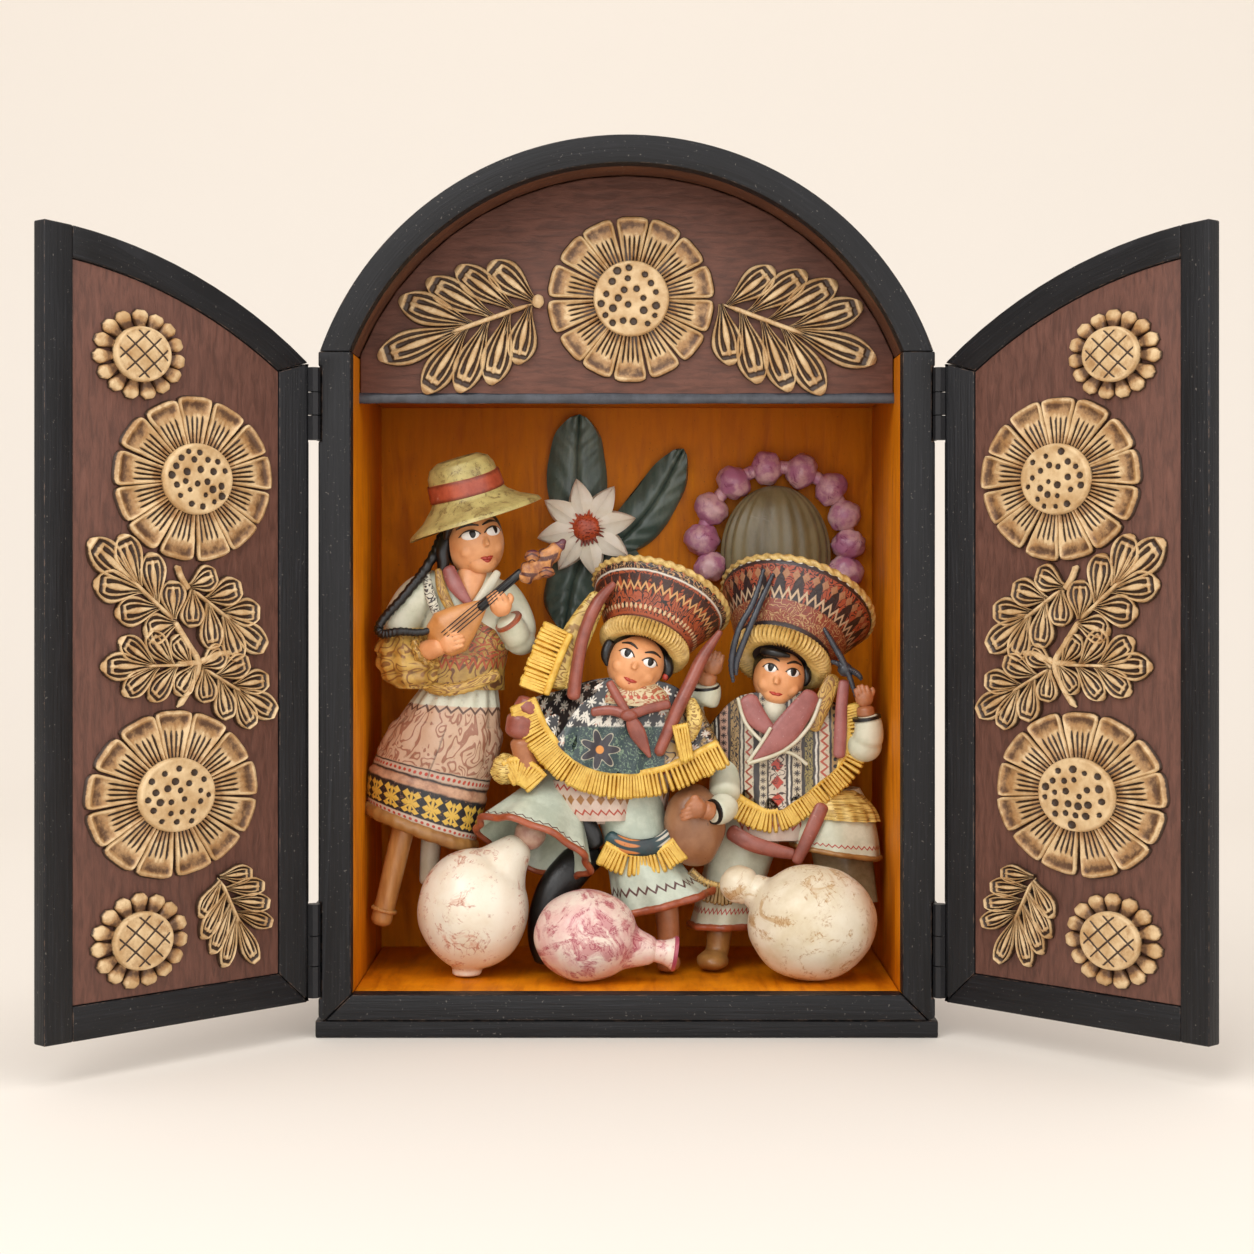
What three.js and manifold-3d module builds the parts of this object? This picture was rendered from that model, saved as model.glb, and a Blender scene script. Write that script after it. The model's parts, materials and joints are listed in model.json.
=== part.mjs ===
// Folding shrine box: an arched wooden case on a plinth, two arched doors on barrel hinges,
// clay flowers and leaves on the doors and the tympanum, and a group of clay figures inside.
// Millimetres, +Z up, the front faces -Y. The origin is the centre of the plinth's underside.

import * as THREE from 'three';
import { mergeVertices } from 'three/addons/utils/BufferGeometryUtils.js';
import Module from 'manifold-3d';

const wasm = await Module();
wasm.setup();

// Driving dimensions.
const gap = 0.3;
const caseDepth = 128;
const yFront = -caseDepth / 2;
const yBack = caseDepth / 2;
const caseHalf = 123.4;
const innerHalf = 110.4;
const boardHalf = 122.5;
const plinthHalf = 124.8;
const plinthHeight = 7;
const frameThick = 10;
const sillTop = 17.5;
const backThick = 6;
const springZ = 275;
const arch = { z: 231.6, outer: 130.3, board: 129.4, inner: 119, steps: 18 };
const ceiling = { z: 260, thick: 4 };
const tympanum = { bottom: 256.3, depth: 31, thick: 4 };

const hinge = { x: 125.2, barrel: 2.7, pin: 1, bore: 1.45, plate: 0.9, clear: 0.4, sides: 8 };
const hingeSpans = { upper: [239.5, 268.5], lower: [16.6, 54] };

const door = { near: 1.8, far: 124.8, bottom: 14.9, thick: 7, lift: 0.5, openDeg: 133.2 };
const doorArc = { s: 138.9, z: 87.1, r: 228.6, steps: 12 };
const doorFrame = { hingeStile: 15, freeStile: 12, bottomRail: 13, topRail: 12 };
const panel = { recess: 0.6, thick: 5 };

const relief = { petal: 3.2, disc: 5.2, leaf: 3.2 };

// Named colours and finishes.
const finishes = {
  blackWood: { color: 0x2e2e33, roughness: 0.6, metalness: 0 },
  redWood: { color: 0x6b4034, roughness: 0.75, metalness: 0 },
  orangeWood: { color: 0xb4610c, roughness: 0.6, metalness: 0 },
  goldClay: { color: 0xd2b07c, roughness: 0.6, metalness: 0 },
  blackSteel: { color: 0x151518, roughness: 0.5, metalness: 0.7 },
  figureClay: { color: 0xb98a66, roughness: 0.5, metalness: 0 },
  leafClay: { color: 0x3f5a4c, roughness: 0.45, metalness: 0 },
  whiteClay: { color: 0xe9dfcb, roughness: 0.45, metalness: 0 },
  pinkClay: { color: 0xc489a6, roughness: 0.45, metalness: 0 },
  oliveClay: { color: 0x7d7452, roughness: 0.5, metalness: 0 },
  brownClay: { color: 0x8a5a3a, roughness: 0.55, metalness: 0 },
};

// ---- solids ----

function toSolid(geometry) {
  const bare = new THREE.BufferGeometry();
  bare.setAttribute('position', geometry.getAttribute('position').clone());
  if (geometry.index) bare.setIndex(geometry.index.clone());
  const merged = mergeVertices(bare, 1e-3);
  const faces = [];
  for (let i = 0; i < merged.index.count; i += 3) {
    const [a, b, c] = [0, 1, 2].map((k) => merged.index.getX(i + k));
    if (a !== b && b !== c && c !== a) faces.push(a, b, c);
  }
  const vertProperties = new Float32Array(merged.getAttribute('position').array);
  const triVerts = new Uint32Array(faces);
  return new wasm.Manifold(new wasm.Mesh({ numProp: 3, vertProperties, triVerts }));
}

function toGeometry(solid) {
  const { vertProperties, triVerts, numProp } = solid.getMesh();
  const points = [];
  for (let i = 0; i < vertProperties.length; i += numProp) {
    points.push(vertProperties[i], vertProperties[i + 1], vertProperties[i + 2]);
  }
  const geometry = new THREE.BufferGeometry();
  geometry.setAttribute('position', new THREE.Float32BufferAttribute(points, 3));
  geometry.setIndex([...triVerts]);
  geometry.computeVertexNormals();
  return geometry;
}

function join(...solids) {
  return solids.reduce((whole, next) => whole.add(next));
}

function cut(solid, ...tools) {
  return tools.reduce((rest, tool) => rest.subtract(tool), solid);
}

function largest(solid) {
  const pieces = solid.decompose();
  return pieces.reduce((best, next) => (next.volume() > best.volume() ? next : best));
}

function mirrored(solid) {
  const geometry = toGeometry(solid);
  geometry.scale(-1, 1, 1);
  const index = [...geometry.index.array];
  for (let i = 0; i < index.length; i += 3) [index[i], index[i + 1]] = [index[i + 1], index[i]];
  geometry.setIndex(index);
  return toSolid(geometry);
}

function block(x0, x1, y0, y1, z0, z1) {
  const geometry = new THREE.BoxGeometry(x1 - x0, y1 - y0, z1 - z0);
  geometry.translate((x0 + x1) / 2, (y0 + y1) / 2, (z0 + z1) / 2);
  return toSolid(geometry);
}

// A plate whose outline lies in the X-Z plane, from y0 to y1.
function plate(points, y0, y1) {
  const shape = new THREE.Shape(points.map(([x, z]) => new THREE.Vector2(x, z)));
  const geometry = new THREE.ExtrudeGeometry(shape, { depth: y1 - y0, bevelEnabled: false });
  geometry.rotateX(Math.PI / 2);
  geometry.translate(0, y1, 0);
  return toSolid(geometry);
}

function ball([x, y, z], [rx, ry, rz], around = 7, rings = 5) {
  const geometry = new THREE.SphereGeometry(1, around, rings);
  geometry.rotateX(Math.PI / 2);
  geometry.scale(rx, ry, rz);
  geometry.translate(x, y, z);
  return toSolid(geometry);
}

function aimed(geometry, from, to) {
  const start = new THREE.Vector3(...from);
  const axis = new THREE.Vector3(...to).sub(start);
  const turn = new THREE.Quaternion().setFromUnitVectors(new THREE.Vector3(0, 1, 0), axis.normalize());
  geometry.applyQuaternion(turn);
  geometry.translate(start.x, start.y, start.z);
  return geometry;
}

function bar(from, to, r0, r1 = r0, sides = 6) {
  const length = new THREE.Vector3(...from).distanceTo(new THREE.Vector3(...to));
  const geometry = new THREE.CylinderGeometry(r1, r0, length, sides);
  geometry.translate(0, length / 2, 0);
  return toSolid(aimed(geometry, from, to));
}

// A cord: a tube swept through its points, with its radius changing from end to end.
function cord(points, radii, sides = 5) {
  const curve = new THREE.CatmullRomCurve3(points.map((p) => new THREE.Vector3(...p)));
  const steps = (points.length - 1) * 2;
  const frames = curve.computeFrenetFrames(steps);
  const geometry = new THREE.CylinderGeometry(1, 1, 1, sides, steps);
  const position = geometry.getAttribute('position');
  for (let i = 0; i < position.count; i += 1) {
    const row = Math.round((0.5 - position.getY(i)) * steps);
    const share = (row / steps) * (radii.length - 1);
    const low = Math.min(Math.floor(share), radii.length - 2);
    const radius = THREE.MathUtils.lerp(radii[low], radii[low + 1], share - low);
    const spot = curve.getPointAt(row / steps);
    spot.addScaledVector(frames.normals[row], position.getX(i) * radius);
    spot.addScaledVector(frames.binormals[row], position.getZ(i) * radius);
    position.setXYZ(i, spot.x, spot.y, spot.z);
  }
  return toSolid(geometry);
}

// An arm: tapering bars that meet at the elbow.
function arm(points, radii) {
  return join(...points.slice(1).map((p, i) => bar(points[i], p, radii[i], radii[i + 1])));
}

// A turned piece: profile of [radius, height] pairs, standing on from and pointing at to.
function turned(profile, from, to, sides = 10) {
  const points = profile.map(([r, h]) => new THREE.Vector2(r, h));
  const geometry = new THREE.LatheGeometry(points, sides);
  return toSolid(aimed(geometry, from, to));
}

// Draped cloth: a stack of pleated elliptical rings, each { at, r, slope, pleat }.
function draped(rings, sides = 10, pleats = 5) {
  const geometry = new THREE.CylinderGeometry(1, 1, 1, sides, rings.length - 1);
  const position = geometry.getAttribute('position');
  for (let i = 0; i < position.count; i += 1) {
    const row = Math.round((0.5 - position.getY(i)) * (rings.length - 1));
    const { at, r, slope = 0, pleat = 0 } = rings[row];
    const angle = Math.atan2(position.getX(i), position.getZ(i));
    const reach = Math.hypot(position.getX(i), position.getZ(i)) * (1 + pleat * Math.cos(pleats * angle));
    const x = Math.sin(angle) * reach * r[0];
    const y = -Math.cos(angle) * reach * r[1];
    position.setXYZ(i, at[0] + x, at[1] + y, at[2] + slope * x);
  }
  return toSolid(geometry);
}

function arcPoints(cx, cz, radius, from, to, steps) {
  const points = [];
  for (let i = 0; i <= steps; i += 1) {
    const angle = from + ((to - from) * i) / steps;
    points.push([cx + radius * Math.cos(angle), cz + radius * Math.sin(angle)]);
  }
  return points;
}

// ---- case ----

// Angle from the horizontal at which an arch circle passes a height.
function angleAt(radius, height) {
  return Math.asin((height - arch.z) / radius);
}

function archBand(outer, inner, y0, y1) {
  const low = springZ + gap;
  const a = angleAt(outer, low);
  const b = angleAt(inner, low);
  const outerArc = arcPoints(0, arch.z, outer, a, Math.PI - a, arch.steps);
  const innerArc = arcPoints(0, arch.z, inner, Math.PI - b, b, arch.steps);
  return plate([...outerArc, ...innerArc], y0, y1);
}

function archedPanel(half, radius, bottom, y0, y1) {
  const angle = Math.acos(half / radius);
  const arc = arcPoints(0, arch.z, radius, angle, Math.PI - angle, arch.steps);
  return plate([[-half, bottom], [half, bottom], ...arc], y0, y1);
}

function frameStile() {
  const inner = innerHalf;
  const outline = [
    [-caseHalf, plinthHeight + gap + 1.5], [-caseHalf + 1.5, plinthHeight + gap],
    [-inner - 10.5, plinthHeight + gap], [-inner, sillTop], [-inner, springZ], [-caseHalf, springZ],
  ];
  const pockets = Object.values(hingeSpans).map(([z0, z1]) => {
    const reach = hinge.barrel + hinge.clear;
    return block(-hinge.x - 5, -hinge.x + reach, yFront - 5, yFront + reach, z0 - 0.5, z1 + 0.5);
  });
  return cut(plate(outline, yFront, yFront + frameThick), ...pockets);
}

function frameSill() {
  const low = plinthHeight + gap;
  const outline = [
    [-innerHalf - 10.5 + 2 * gap, low], [innerHalf + 10.5 - 2 * gap, low],
    [innerHalf - gap, sillTop], [-innerHalf + gap, sillTop],
  ];
  return plate(outline, yFront, yFront + frameThick);
}

function addCase(add) {
  const y0 = yFront + frameThick + gap;
  const y1 = yBack - backThick - gap;
  const low = plinthHeight + gap;
  add('plinth', 'blackWood', block(-plinthHalf, plinthHalf, yFront + 1.5, yBack, 0, plinthHeight));
  add('floor_board', 'orangeWood', block(-innerHalf + gap, innerHalf - gap, y0, y1, low, sillTop));
  const backHalf = boardHalf;
  add('back_board', 'blackWood', archedPanel(backHalf, arch.board, low, y1 + gap, yBack));
  add('side_board_left', 'orangeWood', block(-boardHalf, -innerHalf, y0, y1, low, springZ));
  add('side_board_right', 'orangeWood', block(innerHalf, boardHalf, y0, y1, low, springZ));
  add('arch_board', 'orangeWood', archBand(arch.board, arch.inner, y0, y1));
  add('ceiling_board', 'orangeWood', block(-innerHalf + gap, innerHalf - gap, yFront + tympanum.depth
    + tympanum.thick + gap, y1, ceiling.z, ceiling.z + ceiling.thick));
  const stile = frameStile();
  add('frame_stile_left', 'blackWood', stile);
  add('frame_stile_right', 'blackWood', mirrored(stile));
  add('frame_sill', 'blackWood', frameSill());
  add('frame_arch', 'blackWood', archBand(arch.outer, arch.inner, yFront, yFront + frameThick));
  const face = yFront + tympanum.depth;
  add('tympanum', 'redWood', archedPanel(innerHalf - gap, arch.inner - gap, tympanum.bottom, face,
    face + tympanum.thick));
}

// ---- hinges, in the frame of one hinge axis: +X to the case, +Y to the back when closed ----

function caseLeaf([z0, z1]) {
  const { barrel, pin, plate: thick, clear, sides } = hinge;
  const third = (z1 - z0) / 3;
  const knuckle = (a, b) => join(
    bar([0, 0, a], [0, 0, b], barrel, barrel, sides),
    block(0.6, 0.6 + thick, 0, barrel + clear + 1, a, b),
  );
  return join(
    bar([0, 0, z0 + 1], [0, 0, z1 - 1], pin, pin, sides),
    knuckle(z0, z0 + third),
    knuckle(z1 - third, z1),
    block(0.6, 0.6 + thick, barrel + clear, 14, z0, z1),
  );
}

function doorLeaf([z0, z1]) {
  const { barrel, bore, plate: thick, clear, sides } = hinge;
  const third = (z1 - z0) / 3;
  const a = z0 + third + clear;
  const b = z1 - third - clear;
  const body = join(
    bar([0, 0, a], [0, 0, b], barrel, barrel, sides),
    block(0.6, 0.6 + thick, -barrel - clear - 1, 0, a, b),
    block(0.6, 0.6 + thick, -door.lift - door.thick + 0.2, -barrel - clear, z0, z1),
  );
  return cut(body, bar([0, 0, a - 1], [0, 0, b + 1], bore, bore, sides));
}

// ---- carved reliefs in the X-Z plane, standing from y0 towards +Y or -Y ----

function petalOutline([cx, cz], [rx, rz], petals, notch, marks) {
  const points = [];
  for (let i = 0; i < petals; i += 1) {
    marks.forEach(([shift, reach]) => {
      const angle = Math.PI / 2 + ((i + shift / 2) * 2 * Math.PI) / petals;
      const r = shift === -1 ? notch : reach;
      points.push([cx + rx * r * Math.cos(angle), cz + rz * r * Math.sin(angle)]);
    });
  }
  return points;
}

const broadPetal = [[-1, 0], [-0.66, 0.98], [0.66, 0.98]];
const roundPetal = [[-1, 0], [-0.55, 0.97], [0.55, 0.97]];

// side is +1 where the relief stands towards +Y and -1 where it stands towards -Y.
function flower(centre, radii, petals, marks, notch, discShare, y0, side) {
  const span = (t) => (side > 0 ? [y0, y0 + t] : [y0 - t, y0]);
  const petalsSolid = plate(petalOutline(centre, radii, petals, notch, marks), ...span(relief.petal));
  const profile = [[0, 0], [discShare, 0], [discShare * 0.9, 0.85], [0, 1]];
  const disc = new THREE.LatheGeometry(profile.map(([r, h]) => new THREE.Vector2(r, h)), 10);
  disc.scale(radii[0], relief.disc, radii[1]);
  if (side < 0) disc.rotateX(Math.PI);
  disc.translate(centre[0], y0, centre[1]);
  return join(petalsSolid, toSolid(disc));
}

// A pinnate leaf from base to tip with pointed lobes on both sides.
function lobedLeaf(base, tip, half, lobes, y0, side) {
  const axis = [tip[0] - base[0], tip[1] - base[1]];
  const length = Math.hypot(...axis);
  const across = [(-axis[1] / length) * half, (axis[0] / length) * half];
  const spot = (t, w) => [base[0] + axis[0] * t + across[0] * w, base[1] + axis[1] * t + across[1] * w];
  const flank = (sign) => {
    const points = [spot(0, 0.1 * sign)];
    for (let i = 0; i < lobes; i += 1) {
      const t = 0.08 + (0.68 * (i + 1)) / lobes;
      const swell = Math.sin(Math.PI * (0.2 + (0.62 * (i + 0.5)) / lobes));
      points.push(spot(t + 0.06, sign * swell), spot(t, sign * swell * 0.5));
    }
    return points;
  };
  const outline = [...flank(-1), spot(0.97, -0.1), spot(1, 0), spot(0.97, 0.1), ...flank(1).reverse()];
  const t = relief.leaf;
  return plate(outline, ...(side > 0 ? [y0, y0 + t] : [y0 - t, y0]));
}

// A flat stalk through a row of points.
function stalk(points, half, y0, side) {
  const left = [];
  const right = [];
  points.forEach((p, i) => {
    const a = points[Math.max(i - 1, 0)];
    const b = points[Math.min(i + 1, points.length - 1)];
    const length = Math.hypot(b[0] - a[0], b[1] - a[1]);
    const nx = (-(b[1] - a[1]) / length) * half;
    const nz = ((b[0] - a[0]) / length) * half;
    left.push([p[0] + nx, p[1] + nz]);
    right.push([p[0] - nx, p[1] - nz]);
  });
  const t = relief.leaf * 0.8;
  return plate([...right, ...left.reverse()], ...(side > 0 ? [y0, y0 + t] : [y0 - t, y0]));
}

function addTympanumReliefs(add) {
  const y0 = yFront + tympanum.depth - gap;
  const centre = [1.9, 299.2];
  add('tympanum_flower', 'goldClay', flower(centre, [35.4, 35.4], 14, broadPetal, 0.72, 0.43, y0, -1));
  add('tympanum_leaf_left', 'goldClay', lobedLeaf([-38, 297.4], [-103.4, 274.6], 27, 4, y0, -1));
  add('tympanum_leaf_right', 'goldClay', lobedLeaf([39.5, 297], [103.6, 273.2], 27, 4, y0, -1));
}

// ---- door, in the closed position: X is the distance from the hinge axis, Y is 0 on the axis ----

function doorArcZ(s, radius = doorArc.r) {
  return doorArc.z + Math.sqrt(radius ** 2 - (s - doorArc.s) ** 2);
}

function doorTop(s0, s1, radius) {
  const points = [];
  for (let i = 0; i <= doorArc.steps; i += 1) {
    const s = s0 + ((s1 - s0) * i) / doorArc.steps;
    points.push([s, doorArcZ(s, radius)]);
  }
  return points;
}

function doorPieces() {
  const back = -door.lift - door.thick;
  const face = -door.lift;
  const { hingeStile, freeStile, bottomRail, topRail } = doorFrame;
  const inS = door.near + hingeStile;
  const outS = door.far - freeStile;
  const railTop = door.bottom + bottomRail;
  const innerArc = doorArc.r - topRail;
  const pockets = Object.values(hingeSpans).map(([z0, z1]) => {
    const reach = hinge.barrel + hinge.clear;
    return block(-5, reach, -reach, 2, z0 - 0.5, z1 + 0.5);
  });
  const hingeOutline = [
    [door.near, door.bottom], [inS, railTop], [inS, doorArcZ(inS, innerArc)],
    [door.near, doorArcZ(door.near)],
  ];
  const freeOutline = [
    [outS, door.bottom], [door.far, door.bottom], [door.far, doorArcZ(door.far)], [outS, doorArcZ(outS)],
  ];
  const railOutline = [
    [door.near + gap * 1.6, door.bottom], [outS - gap, door.bottom], [outS - gap, railTop],
    [inS + gap * 0.4, railTop],
  ];
  const topOutline = [
    ...doorTop(door.near + gap * 1.2, outS - gap, doorArc.r),
    ...doorTop(inS + gap * 1.2, outS - gap, innerArc).reverse(),
  ];
  const panelOutline = [
    [inS + gap, railTop + gap], [outS - gap, railTop + gap],
    ...doorTop(inS + gap, outS - gap, innerArc - gap).reverse(),
  ];
  const panelFace = face - panel.recess;
  const y0 = panelFace + gap;
  const sprig = join(
    stalk([[67.5, 187.5], [64, 176], [60, 164], [57, 152], [60, 143], [66, 138]], 1.6, y0, 1),
    stalk([[69, 169], [61, 160], [57, 152]], 1.4, y0, 1),
    stalk([[41, 155.5], [49, 155], [57, 152]], 1.3, y0, 1),
    stalk([[70, 156], [63, 153.5], [57, 152]], 1.3, y0, 1),
    lobedLeaf([68, 168], [106.7, 199], 14.5, 3, y0, 1),
    lobedLeaf([61.5, 181], [24, 156], 14.5, 3, y0, 1),
    lobedLeaf([60, 151.5], [101.5, 152], 13.5, 3, y0, 1),
    lobedLeaf([56, 150.5], [18.8, 130.5], 13.5, 3, y0, 1),
  );
  return {
    stile_hinge: ['blackWood', cut(plate(hingeOutline, back, face), ...pockets)],
    stile_free: ['blackWood', plate(freeOutline, back, face)],
    rail_bottom: ['blackWood', plate(railOutline, back, face)],
    rail_top: ['blackWood', plate(topOutline, back, face)],
    panel: ['redWood', plate(panelOutline, panelFace - panel.thick, panelFace)],
    rosette_top: ['goldClay', flower([83.8, 268.5], [21.3, 17.5], 15, roundPetal, 0.76, 0.58, y0, 1)],
    flower_upper: ['goldClay', flower([58.6, 222.4], [38.2, 32.4], 13, broadPetal, 0.72, 0.41, y0, 1)],
    flower_lower: ['goldClay', flower([68.3, 102.6], [40.6, 32.6], 13, broadPetal, 0.72, 0.42, y0, 1)],
    rosette_bottom: ['goldClay', flower([83.5, 49], [22.4, 18.4], 15, roundPetal, 0.76, 0.58, y0, 1)],
    sprig: ['goldClay', largest(sprig)],
    leaf_bottom: ['goldClay', lobedLeaf([47.5, 69], [29, 33.3], 18.5, 4, y0, 1)],
    hinge_leaf_upper: ['blackSteel', doorLeaf(hingeSpans.upper)],
    hinge_leaf_lower: ['blackSteel', doorLeaf(hingeSpans.lower)],
  };
}

// ---- figures, gourds and flowers: at() takes the distance behind the front plane ----

function at(x, depth, z) {
  return [x, yFront + depth, z];
}

// A fringed edge along a path, standing out from it on its right-hand side.
function fringe(path, width, depth, thick) {
  const outer = path.map((p, i) => {
    const a = path[Math.max(i - 1, 0)];
    const b = path[Math.min(i + 1, path.length - 1)];
    const length = Math.hypot(b[0] - a[0], b[1] - a[1]);
    return [p[0] + ((b[1] - a[1]) / length) * width, p[1] - ((b[0] - a[0]) / length) * width];
  });
  const y0 = yFront + depth;
  return plate([...outer, ...path.slice().reverse()], y0, y0 + thick);
}

const gourds = {
  white: { at: at(-64.2, 41, 45.9), r: [23.4, 22, 25.4] },
  pink: { at: at(-16.6, 28, 37), r: [21.8, 18.8, 19.1] },
  cream: { at: at(76.5, 29.5, 42), r: [26.9, 20.5, 24.1] },
  jug: { at: at(28.4, 50, 79.7), r: [13, 10.5, 17.4] },
};

function gourdBody({ at: centre, r }, grow = 0, around = 10, rings = 7) {
  return ball(centre, r.map((value) => value + grow), around, rings);
}

function whiteGourd(grow = 0) {
  return join(
    gourdBody(gourds.white, grow),
    bar(at(-55, 42, 60), at(-41.5, 46, 73.5), 9 + grow, 5.4 + grow),
    ball(at(-39.2, 46.6, 75.4), [7.4 + grow, 6.4 + grow, 5.8 + grow]),
    bar(at(-66.6, 41.5, sillTop + gap), at(-66.6, 41.5, 25), 6.8 + grow, 6.8 + grow),
  );
}

function pinkGourd(grow = 0) {
  return join(
    gourdBody(gourds.pink, grow),
    bar(at(-4, 28.4, 33.6), at(14.5, 29, 30.2), 12 + grow, 4.6 + grow),
    bar(at(13.5, 29, 30.4), at(20, 29.4, 29.2), 4.7 + grow, 7.2 + grow),
  );
}

function creamGourd(grow = 0) {
  return join(
    gourdBody(gourds.cream, grow),
    bar(at(60, 31, 50.5), at(48, 33, 56.5), 9 + grow, 6.4 + grow),
    ball(at(46.6, 33.2, 57), [7.6 + grow, 7 + grow, 6.6 + grow]),
  );
}

function brownJug(grow = 0) {
  return gourdBody(gourds.jug, grow, 9, 6);
}

function musician() {
  const skirt = draped([
    { at: at(-70.3, 60, 139), r: [16, 11.5] },
    { at: at(-76.5, 60, 118), r: [24, 14.5], slope: -0.12, pleat: 0.05 },
    { at: at(-84.5, 60, 95), r: [24.8, 16], slope: -0.28, pleat: 0.06 },
    { at: at(-87.5, 60, 76), r: [22.3, 16.5], slope: -0.38, pleat: 0.03 },
  ]);
  const torso = draped([
    { at: at(-65, 60, 187), r: [7, 6.5] },
    { at: at(-67, 60, 175), r: [23, 11], slope: 0.03 },
    { at: at(-68.5, 60, 160), r: [22, 12.5] },
    { at: at(-70.3, 60, 136), r: [17.5, 12] },
  ]);
  const crown = [[0, 0], [29.5, 2], [28.5, 4], [15.6, 5], [14, 21], [0, 26.5]];
  return join(
    skirt,
    torso,
    ball(at(-64.5, 59, 199), [13.4, 12.5, 14.6], 8, 6),
    turned(crown, at(-67.3, 57, 207.5), at(-69.5, 51, 225)),
    arm([at(-90, 59, 170), at(-100.5, 53, 149), at(-82, 45, 156)], [7.5, 8.5, 4.4]),
    arm([at(-44, 60, 172), at(-38, 57, 153), at(-53.5, 45, 173.5)], [7, 6.8, 4.2]),
    ball(at(-69, 45.5, 165.5), [9.5, 4.5, 7.5]),
    bar(at(-68, 45, 166), at(-45, 44.5, 185.8), 4.6, 2.2, 6),
    bar(at(-46, 44.5, 185), at(-32.5, 45, 195), 2, 4.4, 5),
    cord([at(-77, 62, 204), at(-81, 56, 191), at(-104.5, 52, 161.5), at(-84, 47, 163)], [3, 2.2, 1.9, 1.6]),
    bar(at(-94, 57, 82), at(-104.6, 57, 36.4), 4.6, 4.6),
    bar(at(-83, 66, 80), at(-85, 66, 52), 4.4, 3.6),
  );
}

function bell(top, hem, rTop, rHem, hollow) {
  const height = new THREE.Vector3(...top).distanceTo(new THREE.Vector3(...hem));
  const wall = 2.2;
  const profile = [
    [0, 0], [rTop, 0], [rTop * 0.55 + rHem * 0.45, height * 0.6], [rHem, height],
    [rHem - wall, height], [rTop * 0.5 + rHem * 0.5 - wall, height - hollow * 0.55],
    [0, height - hollow],
  ];
  return turned(profile, top, hem, 12);
}

const flaredHat = [[0, 0], [20.2, 0], [19, 5], [24, 15], [30.8, 23], [29.5, 27], [0, 22]];

function centreDancer() {
  const poncho = draped([
    { at: at(1.5, 54, 142), r: [7, 7] },
    { at: at(0, 56, 132), r: [29, 12], slope: -0.08 },
    { at: at(-1.5, 56, 117), r: [35, 15.5], slope: -0.1 },
    { at: at(-3, 56, 100), r: [31, 14], slope: 0.1 },
  ]);
  const tunic = draped([
    { at: at(-4, 58, 106), r: [25, 12.5] },
    { at: at(-5, 60, 90), r: [24, 13.5] },
    { at: at(-5, 62, 80), r: [21, 12] },
  ], 10, 5);
  const leg = draped([
    { at: at(0, 58, 92), r: [15, 11] },
    { at: at(4.5, 56, 72), r: [14, 11.5], slope: 0.1 },
    { at: at(9, 54, 58), r: [16, 12.5], slope: 0.15, pleat: 0.04 },
    { at: at(15.5, 53, 45), r: [20.5, 13.5], slope: 0.25, pleat: 0.07 },
  ]);
  const edge = [[-39.5, 134], [-33, 120.3], [-21.8, 108.2], [-6.4, 102.8], [14.5, 104.4], [38.5, 115.5]];
  const shoulderFan = [[-33.4, 132], [-30, 152], [-34.5, 163]];
  return join(
    poncho,
    tunic,
    leg,
    plate([...edge, [26, 136], [-26, 136]], yFront + 40.4, yFront + 46),
    fringe(edge, 11.2, 39.4, 4.2),
    fringe(shoulderFan.slice().reverse(), 12, 41.2, 4.5),
    plate([[-36, 132], [-33, 162.5], [-24, 150], [-20, 132]], yFront + 41.6, yFront + 46.4),
    bell(at(-18, 68, 96), at(-38, 53, 66.5), 10, 28, 20),
    bar(at(0, 62, 90), at(-20, 68, 94), 10, 10),
    ball(at(4, 49, 148.5), [12.4, 12, 13], 8, 6),
    turned(flaredHat, at(7.5, 52, 155), at(14.2, 64, 174.6)),
    cord([at(-8, 46, 181), at(-15, 44, 170), at(-19.6, 42, 154), at(-22, 41.5, 133)], [2.8, 2.8, 2.9, 3.2]),
    cord([at(38.5, 48, 160), at(28.3, 44, 144), at(21.6, 42, 130), at(12.8, 40, 110)], [3, 3.2, 3.4, 3]),
    arm([at(-28, 56, 122), at(-36, 50, 108), at(-42.6, 45.5, 121)], [6, 5, 5]),
    arm([at(24, 58, 130), at(31, 60, 137), at(36.6, 58, 149)], [6.5, 6.8, 4.6]),
    bar(at(16, 55, 52), at(17.5, 55, 22), 4.4, 4),
    ball(at(17.5, 52, 21.8), [5, 9, 4], 6, 4),
  );
}

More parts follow.
